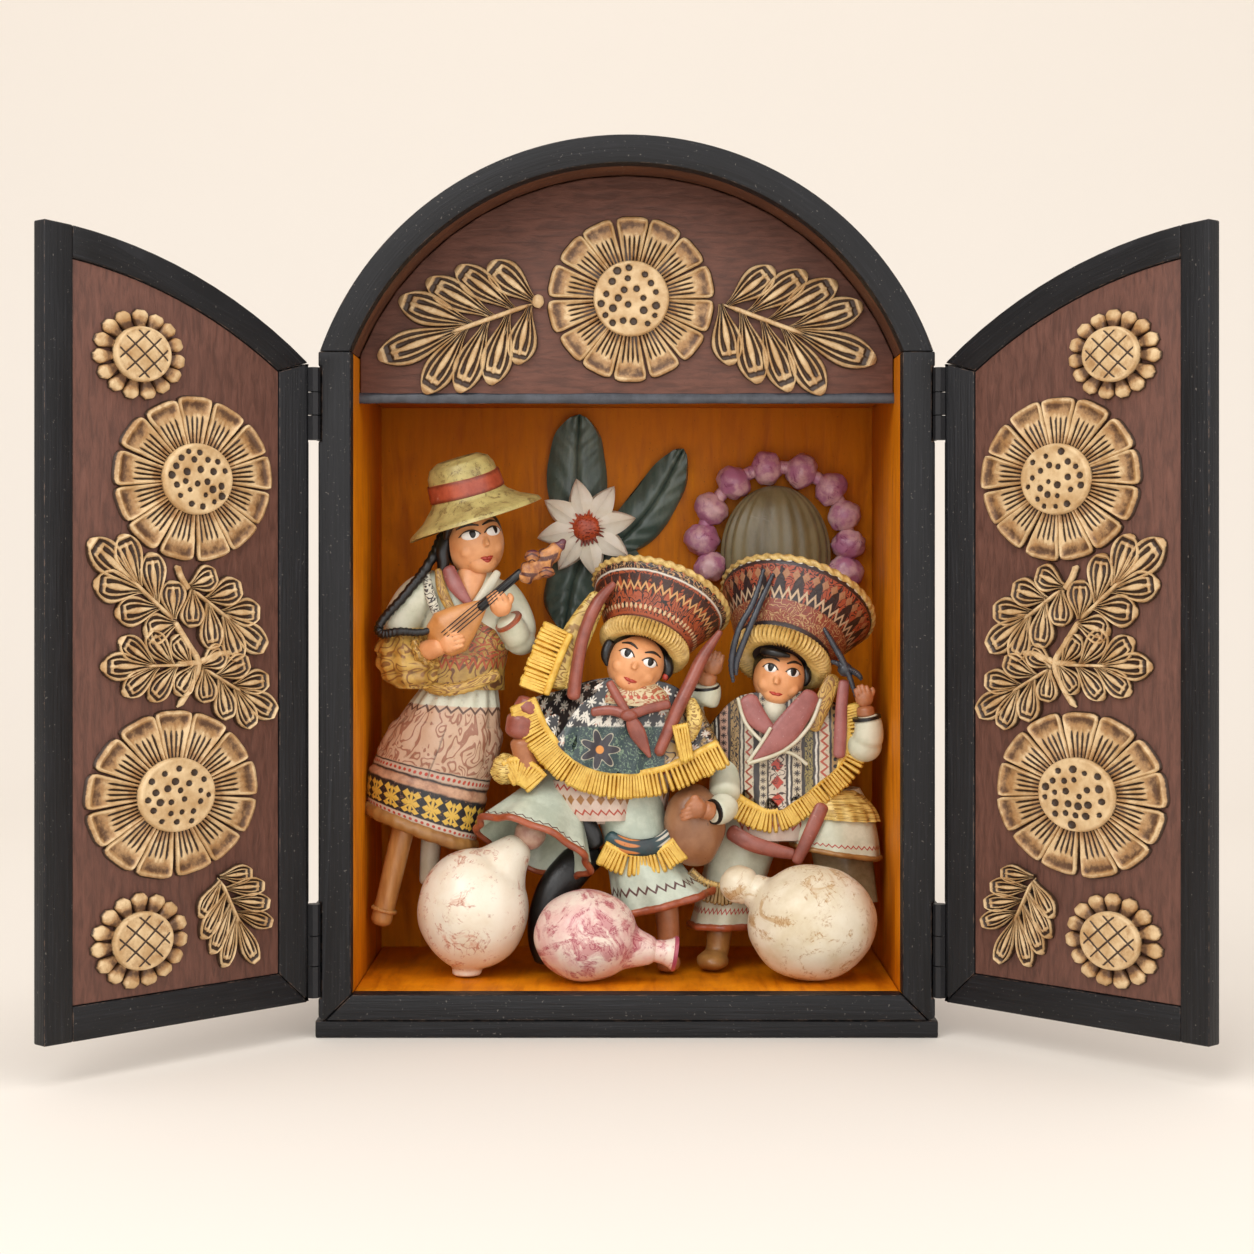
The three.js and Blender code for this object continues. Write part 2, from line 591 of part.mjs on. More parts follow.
function rightDancer() {
  const poncho = draped([
    { at: at(65.5, 66, 136), r: [7, 7] },
    { at: at(68.5, 68, 127), r: [25, 11], slope: 0.04 },
    { at: at(70.5, 67, 110), r: [28, 13.5], slope: 0.2 },
    { at: at(70, 67, 93), r: [24, 13], slope: 0.45 },
  ]);
  const hips = draped([
    { at: at(70, 69, 100), r: [22, 12] },
    { at: at(70, 69, 86), r: [23, 13] },
    { at: at(68, 70, 74), r: [20, 11] },
  ], 10, 5);
  const skirt = draped([
    { at: at(86, 68, 90), r: [14, 11] },
    { at: at(90.5, 66, 76), r: [16.5, 13], pleat: 0.04 },
    { at: at(91.5, 64, 64.5), r: [17.2, 14], slope: 0.08, pleat: 0.06 },
  ]);
  const trousers = draped([
    { at: at(54, 71, 84), r: [13, 10] },
    { at: at(47, 69, 64), r: [13, 11], slope: 0.1, pleat: 0.03 },
    { at: at(42.5, 67, 46), r: [13.4, 11.5], slope: 0.15, pleat: 0.06 },
    { at: at(40.5, 65, 34), r: [13.6, 11.5], slope: 0.2, pleat: 0.06 },
  ]);
  const wide = flaredHat.map(([r, h]) => [r > 22 ? r * 1.17 : r * 0.95, h]);
  const edge = [[46.5, 93], [61.9, 85.3], [80, 97], [96.5, 111], [98, 130]];
  return join(
    poncho,
    hips,
    skirt,
    trousers,
    plate([...edge, [90, 134], [47, 130]], yFront + 52.4, yFront + 58),
    fringe(edge, 9.5, 51.6, 4.4),
    ball(at(66.2, 61.5, 141), [12, 11.5, 12.6], 8, 6),
    turned(wide, at(67.5, 64, 149), at(76.5, 78, 168)),
    arm([at(88, 68, 122), at(100.5, 62, 112), at(100.5, 58, 133)], [6.4, 6.8, 4.4]),
    arm([at(50, 66, 118), at(45, 58, 98), at(43.5, 44, 83.5), at(31, 34.5, 89)], [6, 6, 5.6, 3.6]),
    ball(at(29.2, 34, 89.4), [5.4, 3, 5], 6, 4),
    cord([at(92.2, 54, 141), at(90, 51, 122), at(89.5, 50, 108)], [2.4, 2.6, 2.4]),
    bar(at(94, 67, 70), at(95.5, 67, sillTop + gap), 5, 4.4),
    bar(at(40, 64, 40), at(37.5, 62, 24), 5, 4.4),
    ball(at(36.5, 59, 22), [5.6, 9, 4.1], 6, 4),
  );
}

// A long leaf in the X-Z plane, broadest at a share of its length.
function longLeaf(base, tip, half, swell) {
  const axis = [tip[0] - base[0], tip[1] - base[1]];
  const length = Math.hypot(...axis);
  const across = [-axis[1] / length, axis[0] / length];
  const flank = (sign) => [0, 0.2, 0.45, 0.7, 0.88, 0.97].map((t) => {
    const rise = t < swell ? t / swell : 1 - ((t - swell) / (1 - swell)) ** 2.4;
    const w = sign * half * (0.34 + 0.66 * rise) * (t < swell ? 1 : Math.sqrt(Math.max(rise, 0.05)));
    return [base[0] + axis[0] * t + across[0] * w, base[1] + axis[1] * t + across[1] * w];
  });
  return plate([...flank(-1), tip, ...flank(1).reverse()], yFront + 115.5, yFront + 121.3);
}

function plant() {
  return join(
    longLeaf([-20, 196], [-21.2, 257], 13.4, 0.6),
    longLeaf([-10, 194], [25.5, 241.5], 10.5, 0.72),
    longLeaf([-14, 206], [-28, 160], 12.5, 0.5),
    longLeaf([-12, 204], [3, 172], 10, 0.5),
  );
}

function plantFlower() {
  const centre = [-18, 205.8];
  const marks = [[-1, 0], [-0.5, 0.72], [0, 1], [0.5, 0.72]];
  const outline = petalOutline(centre, [23, 23], 8, 0.45, marks);
  const y1 = yFront + 115;
  const profile = [[0, 0], [8.5, 0], [8, 2.4], [0, 3.6]];
  return join(
    plate(outline, y1 - 3.4, y1),
    turned(profile, [centre[0], y1 - 2.6, centre[1]], [centre[0], y1 - 9, centre[1]], 10),
  );
}

const garlandBulbs = [
  [37.5, 188.6], [33.9, 200.6], [37.8, 214.2], [47.8, 226.3], [62.6, 232.8],
  [78.2, 231.4], [91.2, 223.4], [97.3, 211.4], [99.2, 198.6], [97.6, 186.4],
];

// One row of bulbs on a thread: a swept tube that swells at each bulb.
function garland(grow = 0) {
  const beads = garlandBulbs.length;
  const curve = new THREE.CatmullRomCurve3(garlandBulbs.map(([x, z]) => new THREE.Vector3(...at(x, 113.4, z))));
  const swell = [0.62, 0.97, 0.97, 0.62];
  const steps = beads * 3;
  const sides = 7;
  const geometry = new THREE.CylinderGeometry(1, 1, 1, sides, steps);
  const position = geometry.getAttribute('position');
  for (let i = 0; i < position.count; i += 1) {
    const row = Math.round((0.5 - position.getY(i)) * steps);
    const share = THREE.MathUtils.clamp((row / 3 - 0.5) / (beads - 1), -0.05, 1.05);
    const spot = curve.getPoint(THREE.MathUtils.clamp(share, 0, 1));
    const along = curve.getTangent(THREE.MathUtils.clamp(share, 0, 1));
    spot.addScaledVector(along, (share - THREE.MathUtils.clamp(share, 0, 1)) * 140);
    const side = new THREE.Vector3(0, 1, 0).cross(along);
    const radius = 7.9 * swell[row % 3 === 0 ? 0 : row % 3] + grow;
    spot.addScaledVector(side, position.getX(i) * radius);
    spot.y += position.getZ(i) * radius * 0.95;
    position.setXYZ(i, spot.x, spot.y, spot.z);
  }
  return toSolid(geometry);
}

function dome() {
  const whole = ball(at(66.5, 112.6, 194), [24.6, 8.6, 31], 14, 9);
  const below = block(30, 104, yFront + 100, yFront + 125, 150, 181);
  return largest(cut(whole, below, garland(0.35)));
}

// ---- assembly ----

const root = new THREE.Group();

function adder(group, prefix = '') {
  return (name, finish, solid) => {
    const material = new THREE.MeshStandardMaterial(finishes[finish]);
    const mesh = new THREE.Mesh(toGeometry(solid), material);
    mesh.name = prefix + name;
    group.add(mesh);
  };
}

function addHinges(add) {
  Object.entries(hingeSpans).forEach(([level, span]) => {
    const leaf = caseLeaf(span).translate([-hinge.x, yFront, 0]);
    add(`case_hinge_${level}_left`, 'blackSteel', leaf);
    add(`case_hinge_${level}_right`, 'blackSteel', mirrored(leaf));
  });
}

function addContents(add) {
  const jugRoom = brownJug(0.35);
  const whiteRoom = whiteGourd(0.35);
  const pinkRoom = pinkGourd(0.35);
  const creamRoom = creamGourd(0.35);
  const centre = largest(cut(centreDancer(), jugRoom, whiteRoom, pinkRoom));
  const right = largest(cut(rightDancer(), jugRoom, creamRoom));
  add('musician', 'figureClay', largest(cut(musician(), whiteRoom)));
  add('centre_dancer', 'figureClay', centre);
  add('right_dancer', 'figureClay', right);
  add('plant', 'leafClay', plant());
  add('plant_flower', 'whiteClay', plantFlower());
  add('garland', 'pinkClay', garland());
  add('dome', 'oliveClay', dome());
  add('white_gourd', 'whiteClay', whiteGourd());
  add('pink_gourd', 'pinkClay', pinkGourd());
  add('cream_gourd', 'whiteClay', creamGourd());
  add('brown_jug', 'brownClay', brownJug());
}

function addDoor(side, sign) {
  const group = new THREE.Group();
  group.position.set(sign * hinge.x, yFront, 0);
  group.rotation.z = sign * THREE.MathUtils.degToRad(door.openDeg);
  const add = adder(group, `${side}_`);
  Object.entries(doorPieces()).forEach(([name, [finish, solid]]) => {
    add(name, finish, sign > 0 ? mirrored(solid) : solid);
  });
  root.add(group);
}

const addToCase = adder(root);
addCase(addToCase);
addTympanumReliefs(addToCase);
addHinges(addToCase);
addContents(addToCase);
addDoor('left', -1);
addDoor('right', 1);

export default root;
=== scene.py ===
import json
import math
import random

import bpy
from mathutils import Matrix, Vector, noise

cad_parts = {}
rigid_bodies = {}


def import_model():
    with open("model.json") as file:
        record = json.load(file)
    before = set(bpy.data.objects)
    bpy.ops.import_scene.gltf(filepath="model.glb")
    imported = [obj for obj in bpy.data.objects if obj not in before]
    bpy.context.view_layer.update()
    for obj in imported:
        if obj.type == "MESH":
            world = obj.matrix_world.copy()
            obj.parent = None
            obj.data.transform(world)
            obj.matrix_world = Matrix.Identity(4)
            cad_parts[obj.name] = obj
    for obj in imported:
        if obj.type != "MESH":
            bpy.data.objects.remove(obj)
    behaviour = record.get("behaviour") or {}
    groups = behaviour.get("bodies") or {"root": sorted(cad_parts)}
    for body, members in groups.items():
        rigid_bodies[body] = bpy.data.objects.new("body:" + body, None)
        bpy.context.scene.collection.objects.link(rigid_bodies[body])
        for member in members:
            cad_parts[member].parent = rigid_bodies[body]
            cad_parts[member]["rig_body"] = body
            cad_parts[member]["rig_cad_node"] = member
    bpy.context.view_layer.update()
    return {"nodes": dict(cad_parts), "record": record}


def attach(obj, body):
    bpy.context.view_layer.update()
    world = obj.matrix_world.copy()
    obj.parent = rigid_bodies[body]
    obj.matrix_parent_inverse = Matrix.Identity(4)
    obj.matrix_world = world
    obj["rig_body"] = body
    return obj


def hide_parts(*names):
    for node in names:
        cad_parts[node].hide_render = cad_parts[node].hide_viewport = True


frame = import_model()
bpy.ops.object.select_all(action="DESELECT")
rng = random.Random(7)
mm = 0.001
joints = {j["name"]: j for j in frame["record"]["behaviour"]["joints"]}
frontY = joints["left_door_hinge"]["pos_m"][1] / mm

# The camera looks straight at the open box from about half its height.
studio = {
    "distance": 0.960, "eyeHeight": 0.1911, "lens": 68.9, "shiftY": -0.0526,
    "paper": (0.885, 0.828, 0.752), "world": 0.74,
}

cameraData = bpy.data.cameras.new("camera")
cameraData.lens = studio["lens"]
cameraData.sensor_width = 36
cameraData.shift_y = studio["shiftY"]
camera = bpy.data.objects.new("camera", cameraData)
camera.location = (0.00012, frontY * mm - studio["distance"], studio["eyeHeight"])
camera.rotation_euler = (math.radians(90), 0, 0)
bpy.context.collection.objects.link(camera)
bpy.context.scene.camera = camera
print("camera ready")


# Short forms for shader nodes.
def newMaterial(name):
    material = bpy.data.materials.new(name)
    material.use_nodes = True
    tree = material.node_tree
    shader = next(n for n in tree.nodes if n.type == "BSDF_PRINCIPLED")
    return material, tree, shader


def addNode(tree, kind, values=None, links=None, **settings):
    node = tree.nodes.new(kind)
    for key, value in settings.items():
        setattr(node, key, value)
    for key, value in (values or {}).items():
        node.inputs[key].default_value = value
    for key, source in (links or {}).items():
        tree.links.new(source, node.inputs[key])
    return node


def calc(tree, operation, a, b=None, c=None):
    node = tree.nodes.new("ShaderNodeMath")
    node.operation = operation
    for index, value in enumerate((a, b, c)):
        if value is None:
            continue
        if isinstance(value, (int, float)):
            node.inputs[index].default_value = value
        else:
            tree.links.new(value, node.inputs[index])
    return node.outputs[0]


def mixColor(tree, factor, a, b):
    node = tree.nodes.new("ShaderNodeMix")
    node.data_type = "RGBA"
    for socket, value in ((node.inputs[0], factor), (node.inputs[6], a), (node.inputs[7], b)):
        if isinstance(value, tuple):
            socket.default_value = (*value, 1)
        elif isinstance(value, (int, float)):
            socket.default_value = value
        else:
            tree.links.new(value, socket)
    return node.outputs[2]


def overlay(tree, color, tint, mask, amount):
    return mixColor(tree, calc(tree, "MULTIPLY", mask, amount), color, tint)


def stepUp(tree, value, low, high):
    node = tree.nodes.new("ShaderNodeMapRange")
    node.interpolation_type = "SMOOTHSTEP"
    node.inputs["From Min"].default_value = low
    node.inputs["From Max"].default_value = high
    tree.links.new(value, node.inputs["Value"])
    return node.outputs[0]


def objectPlace(tree):
    return addNode(tree, "ShaderNodeTexCoord").outputs["Object"]


def objectParts(tree):
    return addNode(tree, "ShaderNodeSeparateXYZ", links={0: objectPlace(tree)}).outputs


def objectNoise(tree, scale, detail=4, rough=0.6, distortion=0.0):
    values = {"Scale": scale, "Detail": detail, "Roughness": rough, "Distortion": distortion}
    return addNode(tree, "ShaderNodeTexNoise", values, {"Vector": objectPlace(tree)}).outputs["Fac"]


def grainPlace(tree):
    return addNode(tree, "ShaderNodeUVMap", uv_map="grain").outputs[0]


def grainParts(tree):
    parts = addNode(tree, "ShaderNodeSeparateXYZ", links={0: grainPlace(tree)})
    return parts.outputs[0], parts.outputs[1]


def attribute(tree, name):
    return addNode(tree, "ShaderNodeAttribute", attribute_name=name).outputs["Fac"]


def bump(tree, shader, height, distance, strength=1.0):
    node = addNode(tree, "ShaderNodeBump", {"Strength": strength, "Distance": distance}, {"Height": height})
    tree.links.new(node.outputs[0], shader.inputs["Normal"])


def surface(tree, shader, color, fine, spread, smoothest, coat=None):
    tree.links.new(color, shader.inputs["Base Color"])
    tree.links.new(calc(tree, "MULTIPLY_ADD", fine, spread, smoothest), shader.inputs["Roughness"])
    if coat:
        shader.inputs["Coat Weight"].default_value, shader.inputs["Coat Roughness"].default_value = coat


def newGroup(name, inputs, outputs):
    group = bpy.data.node_groups.new(name, "ShaderNodeTree")
    for label, kind, default in inputs:
        socket = group.interface.new_socket(name=label, in_out="INPUT", socket_type=kind)
        if default is not None:
            socket.default_value = default
    for label, kind in outputs:
        group.interface.new_socket(name=label, in_out="OUTPUT", socket_type=kind)
    return group, group.nodes.new("NodeGroupInput"), group.nodes.new("NodeGroupOutput")


def useGroup(tree, group, values=None, links=None):
    node = tree.nodes.new("ShaderNodeGroup")
    node.node_tree = group
    for key, value in (values or {}).items():
        node.inputs[key].default_value = value
    for key, source in (links or {}).items():
        tree.links.new(source, node.inputs[key])
    return node


# Brush strokes and worn edges, shared by all painted boards.
def makeBrushGroup():
    group, into, out = newGroup("brushStrokes", [
        ("Coords", "NodeSocketVector", None), ("Along", "NodeSocketFloat", 30.0),
        ("Across", "NodeSocketFloat", 900.0)], [("Stroke", "NodeSocketFloat"), ("Patch", "NodeSocketFloat")])
    scale = addNode(group, "ShaderNodeCombineXYZ", {"Z": 1.0},
                    {"X": into.outputs["Along"], "Y": into.outputs["Across"]})
    moved = addNode(group, "ShaderNodeVectorMath", links={0: into.outputs["Coords"], 1: scale.outputs[0]},
                    operation="MULTIPLY")
    fine = addNode(group, "ShaderNodeTexNoise", {"Scale": 1.0, "Detail": 5.0, "Roughness": 0.62, "Distortion": 0.4},
                   {"Vector": moved.outputs[0]})
    broad = addNode(group, "ShaderNodeTexNoise", {"Scale": 55.0, "Detail": 4.0, "Roughness": 0.6},
                    {"Vector": into.outputs["Coords"]})
    group.links.new(fine.outputs["Fac"], out.inputs["Stroke"])
    group.links.new(broad.outputs["Fac"], out.inputs["Patch"])
    return group


def makeWearGroup():
    group, into, out = newGroup("edgeWear", [
        ("Edge", "NodeSocketFloat", 0.0), ("Scale", "NodeSocketFloat", 240.0), ("Amount", "NodeSocketFloat", 0.5)],
        [("Mask", "NodeSocketFloat"), ("Specks", "NodeSocketFloat")])
    coords = addNode(group, "ShaderNodeTexCoord")
    rough = addNode(group, "ShaderNodeTexNoise", {"Detail": 6.0, "Roughness": 0.7},
                    {"Vector": coords.outputs["Object"], "Scale": into.outputs["Scale"]})
    lift = calc(group, "MULTIPLY_ADD", into.outputs["Edge"], into.outputs["Amount"], rough.outputs["Fac"])
    mask = stepUp(group, lift, 0.78, 0.9)
    grit = addNode(group, "ShaderNodeTexNoise", {"Scale": 900.0, "Detail": 2.0, "Roughness": 0.5},
                   {"Vector": coords.outputs["Object"]})
    specks = stepUp(group, grit.outputs["Fac"], 0.69, 0.75)
    group.links.new(mask, out.inputs["Mask"])
    group.links.new(specks, out.inputs["Specks"])
    return group


brushGroup = makeBrushGroup()
wearGroup = makeWearGroup()


def paintedWood(name, base, light, dark, worn, rough, wearAmount, strokes=(30.0, 900.0), contrast=(0.35, 0.68),
                bumpDepth=0.00035, speckColor=(0.5, 0.45, 0.38), ceilingShade=None, specular=0.5):
    material, tree, shader = newMaterial(name)
    shader.inputs["Specular IOR Level"].default_value = specular
    brush = useGroup(tree, brushGroup, {"Along": strokes[0], "Across": strokes[1]}, {"Coords": grainPlace(tree)})
    wear = useGroup(tree, wearGroup, {"Scale": 260.0, "Amount": wearAmount}, {"Edge": attribute(tree, "edge")})
    tone = stepUp(tree, brush.outputs["Stroke"], *contrast)
    color = mixColor(tree, tone, dark, base)
    highlight = stepUp(tree, brush.outputs["Stroke"], 0.56, 0.76)
    color = overlay(tree, color, light, highlight, 0.55)
    patch = stepUp(tree, brush.outputs["Patch"], 0.42, 0.7)
    color = overlay(tree, color, dark, patch, 0.35)
    # Painted shade: the board darkens towards the top of the niche, under the ceiling, from 0.21 m up to 0.262 m.
    if ceilingShade:
        low, high, amount = ceilingShade
        color = overlay(tree, color, dark, stepUp(tree, objectParts(tree)[2], low, high), amount)
    color = overlay(tree, color, speckColor, wear.outputs["Specks"], 0.5)
    color = overlay(tree, color, worn, wear.outputs["Mask"], 0.85)
    surface(tree, shader, color, brush.outputs["Stroke"], 0.35, rough - 0.17)
    bump(tree, shader, brush.outputs["Stroke"], bumpDepth, 0.8)
    return material


blackWood = paintedWood("blackWood", (0.0095, 0.0095, 0.0115), (0.030, 0.031, 0.037), (0.0035, 0.0035, 0.0045),
                        (0.11, 0.07, 0.05), 0.5, 0.34, speckColor=(0.2, 0.18, 0.16), specular=0.34)
redWood = paintedWood("redWood", (0.150, 0.060, 0.040), (0.20, 0.088, 0.062), (0.088, 0.034, 0.022),
                      (0.28, 0.16, 0.12), 0.66, 0.25, strokes=(90.0, 420.0), contrast=(0.3, 0.62),
                      speckColor=(0.09, 0.035, 0.025), bumpDepth=0.00045)
# The orange inside of the case; its upper part is darkened with painted shade towards the ceiling.
orangeWood = paintedWood("orangeWood", (0.74, 0.235, 0.001), (0.88, 0.34, 0.002), (0.48, 0.125, 0.001),
                         (0.2, 0.06, 0.006), 0.55, 0.2, strokes=(24.0, 160.0), contrast=(0.25, 0.6),
                         speckColor=(0.2, 0.055, 0.004), bumpDepth=0.0004, ceilingShade=(0.21, 0.262, 0.6),
                         specular=0.22)
# Brown wood: on the arch board this brown is painted shade for the underside of the arch; on the outer faces of the
# side boards it is their plain brown finish.
brownWood = paintedWood("brownWood", (0.12, 0.04, 0.016), (0.2, 0.075, 0.03), (0.05, 0.017, 0.008),
                        (0.25, 0.11, 0.04), 0.6, 0.25, strokes=(40.0, 300.0), contrast=(0.25, 0.6))


def makeGoldClay():
    material, tree, shader = newMaterial("goldClay")
    groove = attribute(tree, "groove")
    burn = attribute(tree, "burn")
    fine = objectNoise(tree, 900, 5, 0.65)
    middle = objectNoise(tree, 260, 5, 0.7)
    broad = objectNoise(tree, 110, 4, 0.6)
    cream = mixColor(tree, stepUp(tree, broad, 0.35, 0.68), (0.74, 0.54, 0.30), (0.52, 0.32, 0.14))
    # Dark brown in the petal dishes, between petals and under the disc, lighter along the ridges: a burnt wash and
    # painted shade.
    lifted = calc(tree, "MULTIPLY_ADD", calc(tree, "SUBTRACT", middle, 0.5), 1.5, burn)
    color = overlay(tree, cream, (0.34, 0.155, 0.045), stepUp(tree, lifted, 0.12, 0.55), 0.7)
    color = overlay(tree, color, (0.07, 0.026, 0.01), stepUp(tree, lifted, 0.5, 1.0), 0.9)
    # Near-black in the grooves, flutes and disc holes: painted shade over a dark wash.
    deep = stepUp(tree, calc(tree, "MULTIPLY_ADD", calc(tree, "SUBTRACT", fine, 0.5), 0.5, groove), 0.3, 0.6)
    surface(tree, shader, overlay(tree, color, (0.03, 0.012, 0.006), deep, 0.96), fine, 0.3, 0.34)
    bump(tree, shader, fine, 0.00012, 0.6)
    return material


def makeBlackSteel():
    material, tree, shader = newMaterial("blackSteel")
    fine = objectNoise(tree, 700, 4, 0.6)
    surface(tree, shader, mixColor(tree, fine, (0.006, 0.006, 0.008), (0.02, 0.02, 0.022)), fine, 0.3, 0.35)
    shader.inputs["Metallic"].default_value = 0.3
    bump(tree, shader, fine, 0.0001, 0.5)
    return material


def makeClayGroup():
    group, into, out = newGroup("clayAge", [
        ("Scale", "NodeSocketFloat", 160.0), ("Stain Scale", "NodeSocketFloat", 60.0),
        ("Stretch", "NodeSocketVector", (1, 1, 1))],
        [("Mottle", "NodeSocketFloat"), ("Fine", "NodeSocketFloat"), ("Stain", "NodeSocketFloat"),
         ("Veins", "NodeSocketFloat"), ("Crevice", "NodeSocketFloat")])
    coords = addNode(group, "ShaderNodeTexCoord")
    moved = addNode(group, "ShaderNodeVectorMath", links={0: coords.outputs["Object"], 1: into.outputs["Stretch"]},
                    operation="MULTIPLY")
    broad = addNode(group, "ShaderNodeTexNoise", {"Detail": 5.0, "Roughness": 0.65},
                    {"Vector": moved.outputs[0], "Scale": into.outputs["Scale"]})
    fine = addNode(group, "ShaderNodeTexNoise", {"Detail": 4.0, "Roughness": 0.6},
                   {"Vector": coords.outputs["Object"],
                    "Scale": calc(group, "MULTIPLY", into.outputs["Scale"], 5.0)})
    stain = addNode(group, "ShaderNodeTexNoise", {"Detail": 6.0, "Roughness": 0.68, "Distortion": 1.2},
                    {"Vector": coords.outputs["Object"], "Scale": into.outputs["Stain Scale"]})
    threads = addNode(group, "ShaderNodeTexNoise", {"Detail": 4.0, "Roughness": 0.62, "Distortion": 1.6},
                      {"Vector": moved.outputs[0],
                       "Scale": calc(group, "MULTIPLY", into.outputs["Stain Scale"], 1.7)})
    thread = stepUp(group, calc(group, "ABSOLUTE", calc(group, "SUBTRACT", threads.outputs["Fac"], 0.5)), 0.035,
                    0.006)
    veins = calc(group, "MULTIPLY", thread, stepUp(group, stain.outputs["Fac"], 0.48, 0.6))
    # Hollows and folds are found from the mesh's pointiness and darkened as a dark wash and painted shade.
    shape = addNode(group, "ShaderNodeNewGeometry")
    uneven = calc(group, "MULTIPLY_ADD", calc(group, "SUBTRACT", fine.outputs["Fac"], 0.5), 0.05,
                  shape.outputs["Pointiness"])
    for name, value in (("Mottle", broad.outputs["Fac"]), ("Fine", fine.outputs["Fac"]),
                        ("Stain", stain.outputs["Fac"]), ("Veins", veins),
                        ("Crevice", stepUp(group, uneven, 0.497, 0.455))):
        group.links.new(value, out.inputs[name])
    return group


clayGroup = makeClayGroup()


def clay(name, base, second, dark=None, scale=160, mix=(0.35, 0.7), rough=0.4, stains=None, coat=0.25,
         stretch=(1, 1, 1), washAndShade=0.6):
    material, tree, shader = newMaterial(name)
    stains = stains or {"color": base, "amount": 0.0}
    age = useGroup(tree, clayGroup, {"Scale": scale, "Stain Scale": stains.get("scale", 60), "Stretch": stretch})
    color = mixColor(tree, stepUp(tree, age.outputs["Mottle"], *mix), base, second)
    mask = stepUp(tree, age.outputs["Stain"], stains.get("low", 0.55), stains.get("high", 0.68))
    color = overlay(tree, color, stains["color"], mask, stains.get("amount", 0.8))
    if "veins" in stains:
        color = overlay(tree, color, stains["veins"], age.outputs["Veins"], 0.85)
    if dark:
        color = overlay(tree, color, dark, stepUp(tree, age.outputs["Fine"], 0.64, 0.74), 0.6)
    # Painted shade with a dark wash: hollows and folds are darkened towards the shade colour.
    shade = dark or tuple(part * 0.16 for part in second)
    color = overlay(tree, color, shade, age.outputs["Crevice"], washAndShade)
    surface(tree, shader, color, age.outputs["Fine"], 0.25, rough - 0.12, (coat, 0.25))
    bump(tree, shader, age.outputs["Fine"], 0.00018, 0.6)
    return material


goldClay = makeGoldClay()
blackSteel = makeBlackSteel()
skin = clay("skin", (0.84, 0.40, 0.175), (0.70, 0.29, 0.11), scale=90, rough=0.42, coat=0.3)
brownSkin = clay("brownSkin", (0.50, 0.20, 0.085), (0.36, 0.13, 0.05), scale=90, rough=0.42, coat=0.3)
hair = clay("hair", (0.004, 0.0035, 0.0035), (0.010, 0.008, 0.008), scale=260, rough=0.34, coat=0.15)
mint = clay("mintCloth", (0.74, 0.74, 0.58), (0.58, 0.60, 0.44), scale=70, rough=0.4,
             stains={"color": (0.36, 0.27, 0.14), "scale": 80, "low": 0.62, "high": 0.74, "amount": 0.5})
creamCloth = clay("creamCloth", (0.72, 0.68, 0.53), (0.58, 0.54, 0.38), scale=80, rough=0.42)
yellowFringe = clay("yellowFringe", (0.90, 0.60, 0.11), (0.70, 0.39, 0.04), scale=220, rough=0.42, washAndShade=0.12)
dustyRed = clay("dustyRed", (0.34, 0.095, 0.062), (0.22, 0.055, 0.036), dark=(0.55, 0.25, 0.2), scale=120,
                rough=0.36)
hemRed = clay("hemRed", (0.42, 0.10, 0.035), (0.22, 0.045, 0.02), scale=120, rough=0.36)
white = clay("eyeWhite", (0.95, 0.94, 0.9), (0.9, 0.88, 0.82), scale=200, rough=0.3, coat=0.2, washAndShade=0.2)
black = clay("blackPaint", (0.004, 0.0035, 0.0035), (0.008, 0.007, 0.007), scale=200, rough=0.36, coat=0.1)
lips = clay("lips", (0.50, 0.05, 0.025), (0.36, 0.03, 0.018), scale=300, rough=0.3)
darkLine = clay("browPaint", (0.012, 0.008, 0.006), (0.02, 0.014, 0.01), scale=300, rough=0.35)
straw = clay("straw", (0.56, 0.47, 0.17), (0.38, 0.30, 0.10), dark=(0.1, 0.07, 0.02), scale=150, rough=0.5,
             stains={"color": (0.24, 0.16, 0.05), "scale": 150, "low": 0.54, "high": 0.64, "amount": 0.6,
                     "veins": (0.14, 0.09, 0.03)})
redBand = clay("redBand", (0.50, 0.10, 0.045), (0.34, 0.055, 0.025), scale=120, rough=0.4,
               stains={"color": (0.6, 0.35, 0.25), "scale": 90, "low": 0.62, "high": 0.72, "amount": 0.6})
ochre = clay("ochre", (0.40, 0.20, 0.055), (0.28, 0.12, 0.03), scale=110, rough=0.42)
tanWood = clay("tanWood", (0.66, 0.34, 0.11), (0.48, 0.215, 0.06), scale=60, rough=0.4, stretch=(4, 4, 0.7))
leafGreen = clay("leafGreen", (0.062, 0.105, 0.085), (0.15, 0.21, 0.17), dark=(0.02, 0.035, 0.03), scale=80,
                 rough=0.34,
                 mix=(0.4, 0.75), stretch=(1.6, 1, 0.5))
petalWhite = clay("petalWhite", (0.97, 0.93, 0.79), (0.90, 0.84, 0.66), scale=100, rough=0.42, washAndShade=0.12)
stamenRed = clay("stamenRed", (0.62, 0.10, 0.025), (0.42, 0.05, 0.015), scale=260, rough=0.4)
bulbPink = clay("bulbPink", (0.52, 0.20, 0.34), (0.78, 0.50, 0.52), scale=120, mix=(0.4, 0.62), rough=0.36,
                stains={"color": (0.28, 0.05, 0.15), "scale": 130, "low": 0.56, "high": 0.68, "amount": 0.8})
olive = clay("olive", (0.27, 0.23, 0.11), (0.16, 0.13, 0.06), scale=70, rough=0.34, stretch=(1, 1, 0.35),
             stains={"color": (0.42, 0.40, 0.30), "scale": 60, "low": 0.6, "high": 0.72, "amount": 0.5})
